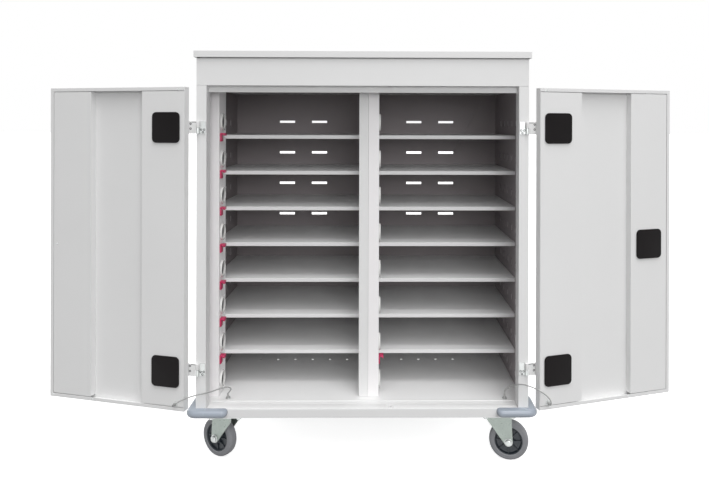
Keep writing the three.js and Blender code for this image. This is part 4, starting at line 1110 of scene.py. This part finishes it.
class SillOperator(bpy.types.Operator):
    """Adds the sill strip under the doors, the hem of the floor, and the bush that takes the lower lock rod"""

    bl_idname = "cart.sill"
    bl_label = "Sill"

    def execute(self, context):
        """Makes the strips and the bush."""
        strips = []
        for x0, x1, y0, y1, top in (
            (-388.5, 58.5, -249.2, -223.0, 150.8), (78.5, 388.5, -249.2, -223.0, 150.8),
            (-388.0, 388.0, -203.0, -197.0, 151.2),
        ):
            outline = rounded_rectangle(x1 - x0, y1 - y0, 0.6, 1) + ((x0 + x1) / 2, (y0 + y1) / 2)
            strips.append(slab(outline, 149.9, top, 0.3, 2))
        piece("sill_strips", join(*strips), "cabinet", coat_finish())
        profile = [(0, 131), (6.2, 131), (6.2, 149.8), (8.2, 149.8), (8.2, 150.9), (5.2, 150.9), (5.2, 132.2), (0, 132.2)]
        bush = revolve(rounded_profile(profile, 0.5, 2), 32)
        stand = axes((*STRIKE, 0), (1, 0, 0), (0, 1, 0), (0, 0, 1))
        piece("lower_strike_bush", place(bush, stand), "cabinet", coat_finish())
        return {"FINISHED"}


class LockOperator(bpy.types.Operator):
    """Rounds the lock handle, and adds its rose and key barrel, with a black slot on the barrel as painted shade of the
    keyway
    """

    bl_idname = "cart.lock"
    bl_label = "Lock"

    def execute(self, context):
        """Dresses the lock."""
        dressed("lock_handle", cover_finish(), context.scene.cart_sizes.fold_radius)
        stand = door_axes("right") @ axes((341.5, 0, 551), (1, 0, 0), (0, 0, 1), (0, -1, 0))
        lever = slab(rounded_rectangle(97, 19, 9.4, 8), 6.8, 16.0, 3.0, 4)
        lever = place(lever, axes((-39, 0, 0), (1, 0, 0), (0, 1, 0), (0, 0, 1)))
        hub = revolve(rounded_profile([(0, -4.6), (13.4, -4.6), (13.4, 17.2), (11.5, 18.2), (0, 18.2)], 1.6), 40)
        piece("lock_lever", place(join(lever, hub), stand), "lock_handle", cover_finish())
        barrel = revolve(rounded_profile([(0, 17.8), (7.6, 17.8), (7.6, 19.2), (0, 19.2)], 0.6), 32)
        # A black slot on the barrel's face: painted shade standing in for the keyway.
        keyway_shade = slab(rounded_rectangle(1.6, 8.4, 0.7, 3), 19.0, 19.35, 0.1, 1)
        piece("lock_key_barrel", place(barrel, stand), "lock_handle", zinc_finish())
        piece("lock_keyway", place(keyway_shade, stand), "lock_handle", cover_finish())
        section = rounded_profile([(13.9, -5.2), (23.5, -5.2), (23.5, -3.9), (14.6, -2.7), (13.9, -2.7)], 0.7)
        rose = revolve_ring(section, 48)
        piece("lock_rose", place(rose, stand), "right_door", cover_finish())
        return {"FINISHED"}


class FastenerOperator(bpy.types.Operator):
    """Adds the rivets on the door insides and the nut of the closed cable gland"""

    bl_idname = "cart.fasteners"
    bl_label = "Rivets and gland"

    def execute(self, context):
        """Makes the rivets and the gland nut."""
        rivet = revolve(rounded_profile([(0, -0.3), (2.6, -0.3), (2.4, 0.6), (1.2, 1.1), (0, 1.15)], 0.5), 16)
        places = {
            "left": [(389, 551), (38.5, 945), (400, 160), (283, 160)],
            "right": [(38.5, 945), (283, 160)],
        }
        for side, spots in places.items():
            stands = [on_door(side, across, 24.95, height) for across, height in spots]
            piece(f"{side}_door_rivets", place(rivet, *stands), f"{side}_door", zinc_finish())
        nut = revolve(
            rounded_profile([(0, -1), (15.6, -1), (15.6, 3.4), (13.6, 3.6), (13.6, 9.4), (9.0, 11.6), (0, 11.6)], 1.2), 40
        )
        flats = slab(polygon(16.4, 6), 0.0, 3.4, 0.6)
        stand = axes((355, 205.2, 195), (-1, 0, 0), (0, 0, 1), (0, 1, 0))
        piece("gland_nut", place(join(nut, flats), stand), "cabinet", cover_finish())
        return {"FINISHED"}


class CartPanel(bpy.types.Panel):
    """Lists the steps that dress the cart"""

    bl_idname = "CART_PT_panel"
    bl_label = "Charging cart"
    bl_space_type = "VIEW_3D"
    bl_region_type = "UI"
    bl_category = "Cart"

    def draw(self, context):
        """Draws a button for each step, and the sizes and colours."""
        for step in OPERATORS:
            self.layout.operator(step.bl_idname)
        for group in (context.scene.cart_stage, context.scene.cart_sizes, context.scene.cart_finishes):
            box = self.layout.box()
            for key in group.__annotations__:
                box.prop(group, key)


GROUPS = {"cart_finishes": CartFinishes, "cart_sizes": CartSizes, "cart_stage": CartStage}
OPERATORS = (
    StageOperator,
    EarthLeadOperator,
    SteelOperator,
    PlatedOperator,
    WheelOperator,
    BumperOperator,
    CoverOperator,
    SocketOperator,
    ClipOperator,
    VentOperator,
    SillOperator,
    LockOperator,
    FastenerOperator,
)


def register():
    """Registers the groups, the operators and the panel."""
    for cls in (*GROUPS.values(), *OPERATORS, CartPanel):
        bpy.utils.register_class(cls)
    for key, group in GROUPS.items():
        setattr(bpy.types.Scene, key, bpy.props.PointerProperty(type=group))


def unregister():
    """Takes everything out again."""
    for key in GROUPS:
        delattr(bpy.types.Scene, key)
    for cls in (CartPanel, *reversed(OPERATORS), *reversed(list(GROUPS.values()))):
        bpy.utils.unregister_class(cls)


def main():
    """Dresses the cart step by step."""
    register()
    for step in OPERATORS:
        space, verb = step.bl_idname.split(".")
        getattr(getattr(bpy.ops, space), verb)()
    bpy.context.view_layer.update()


if __name__ == "__main__":
    main()
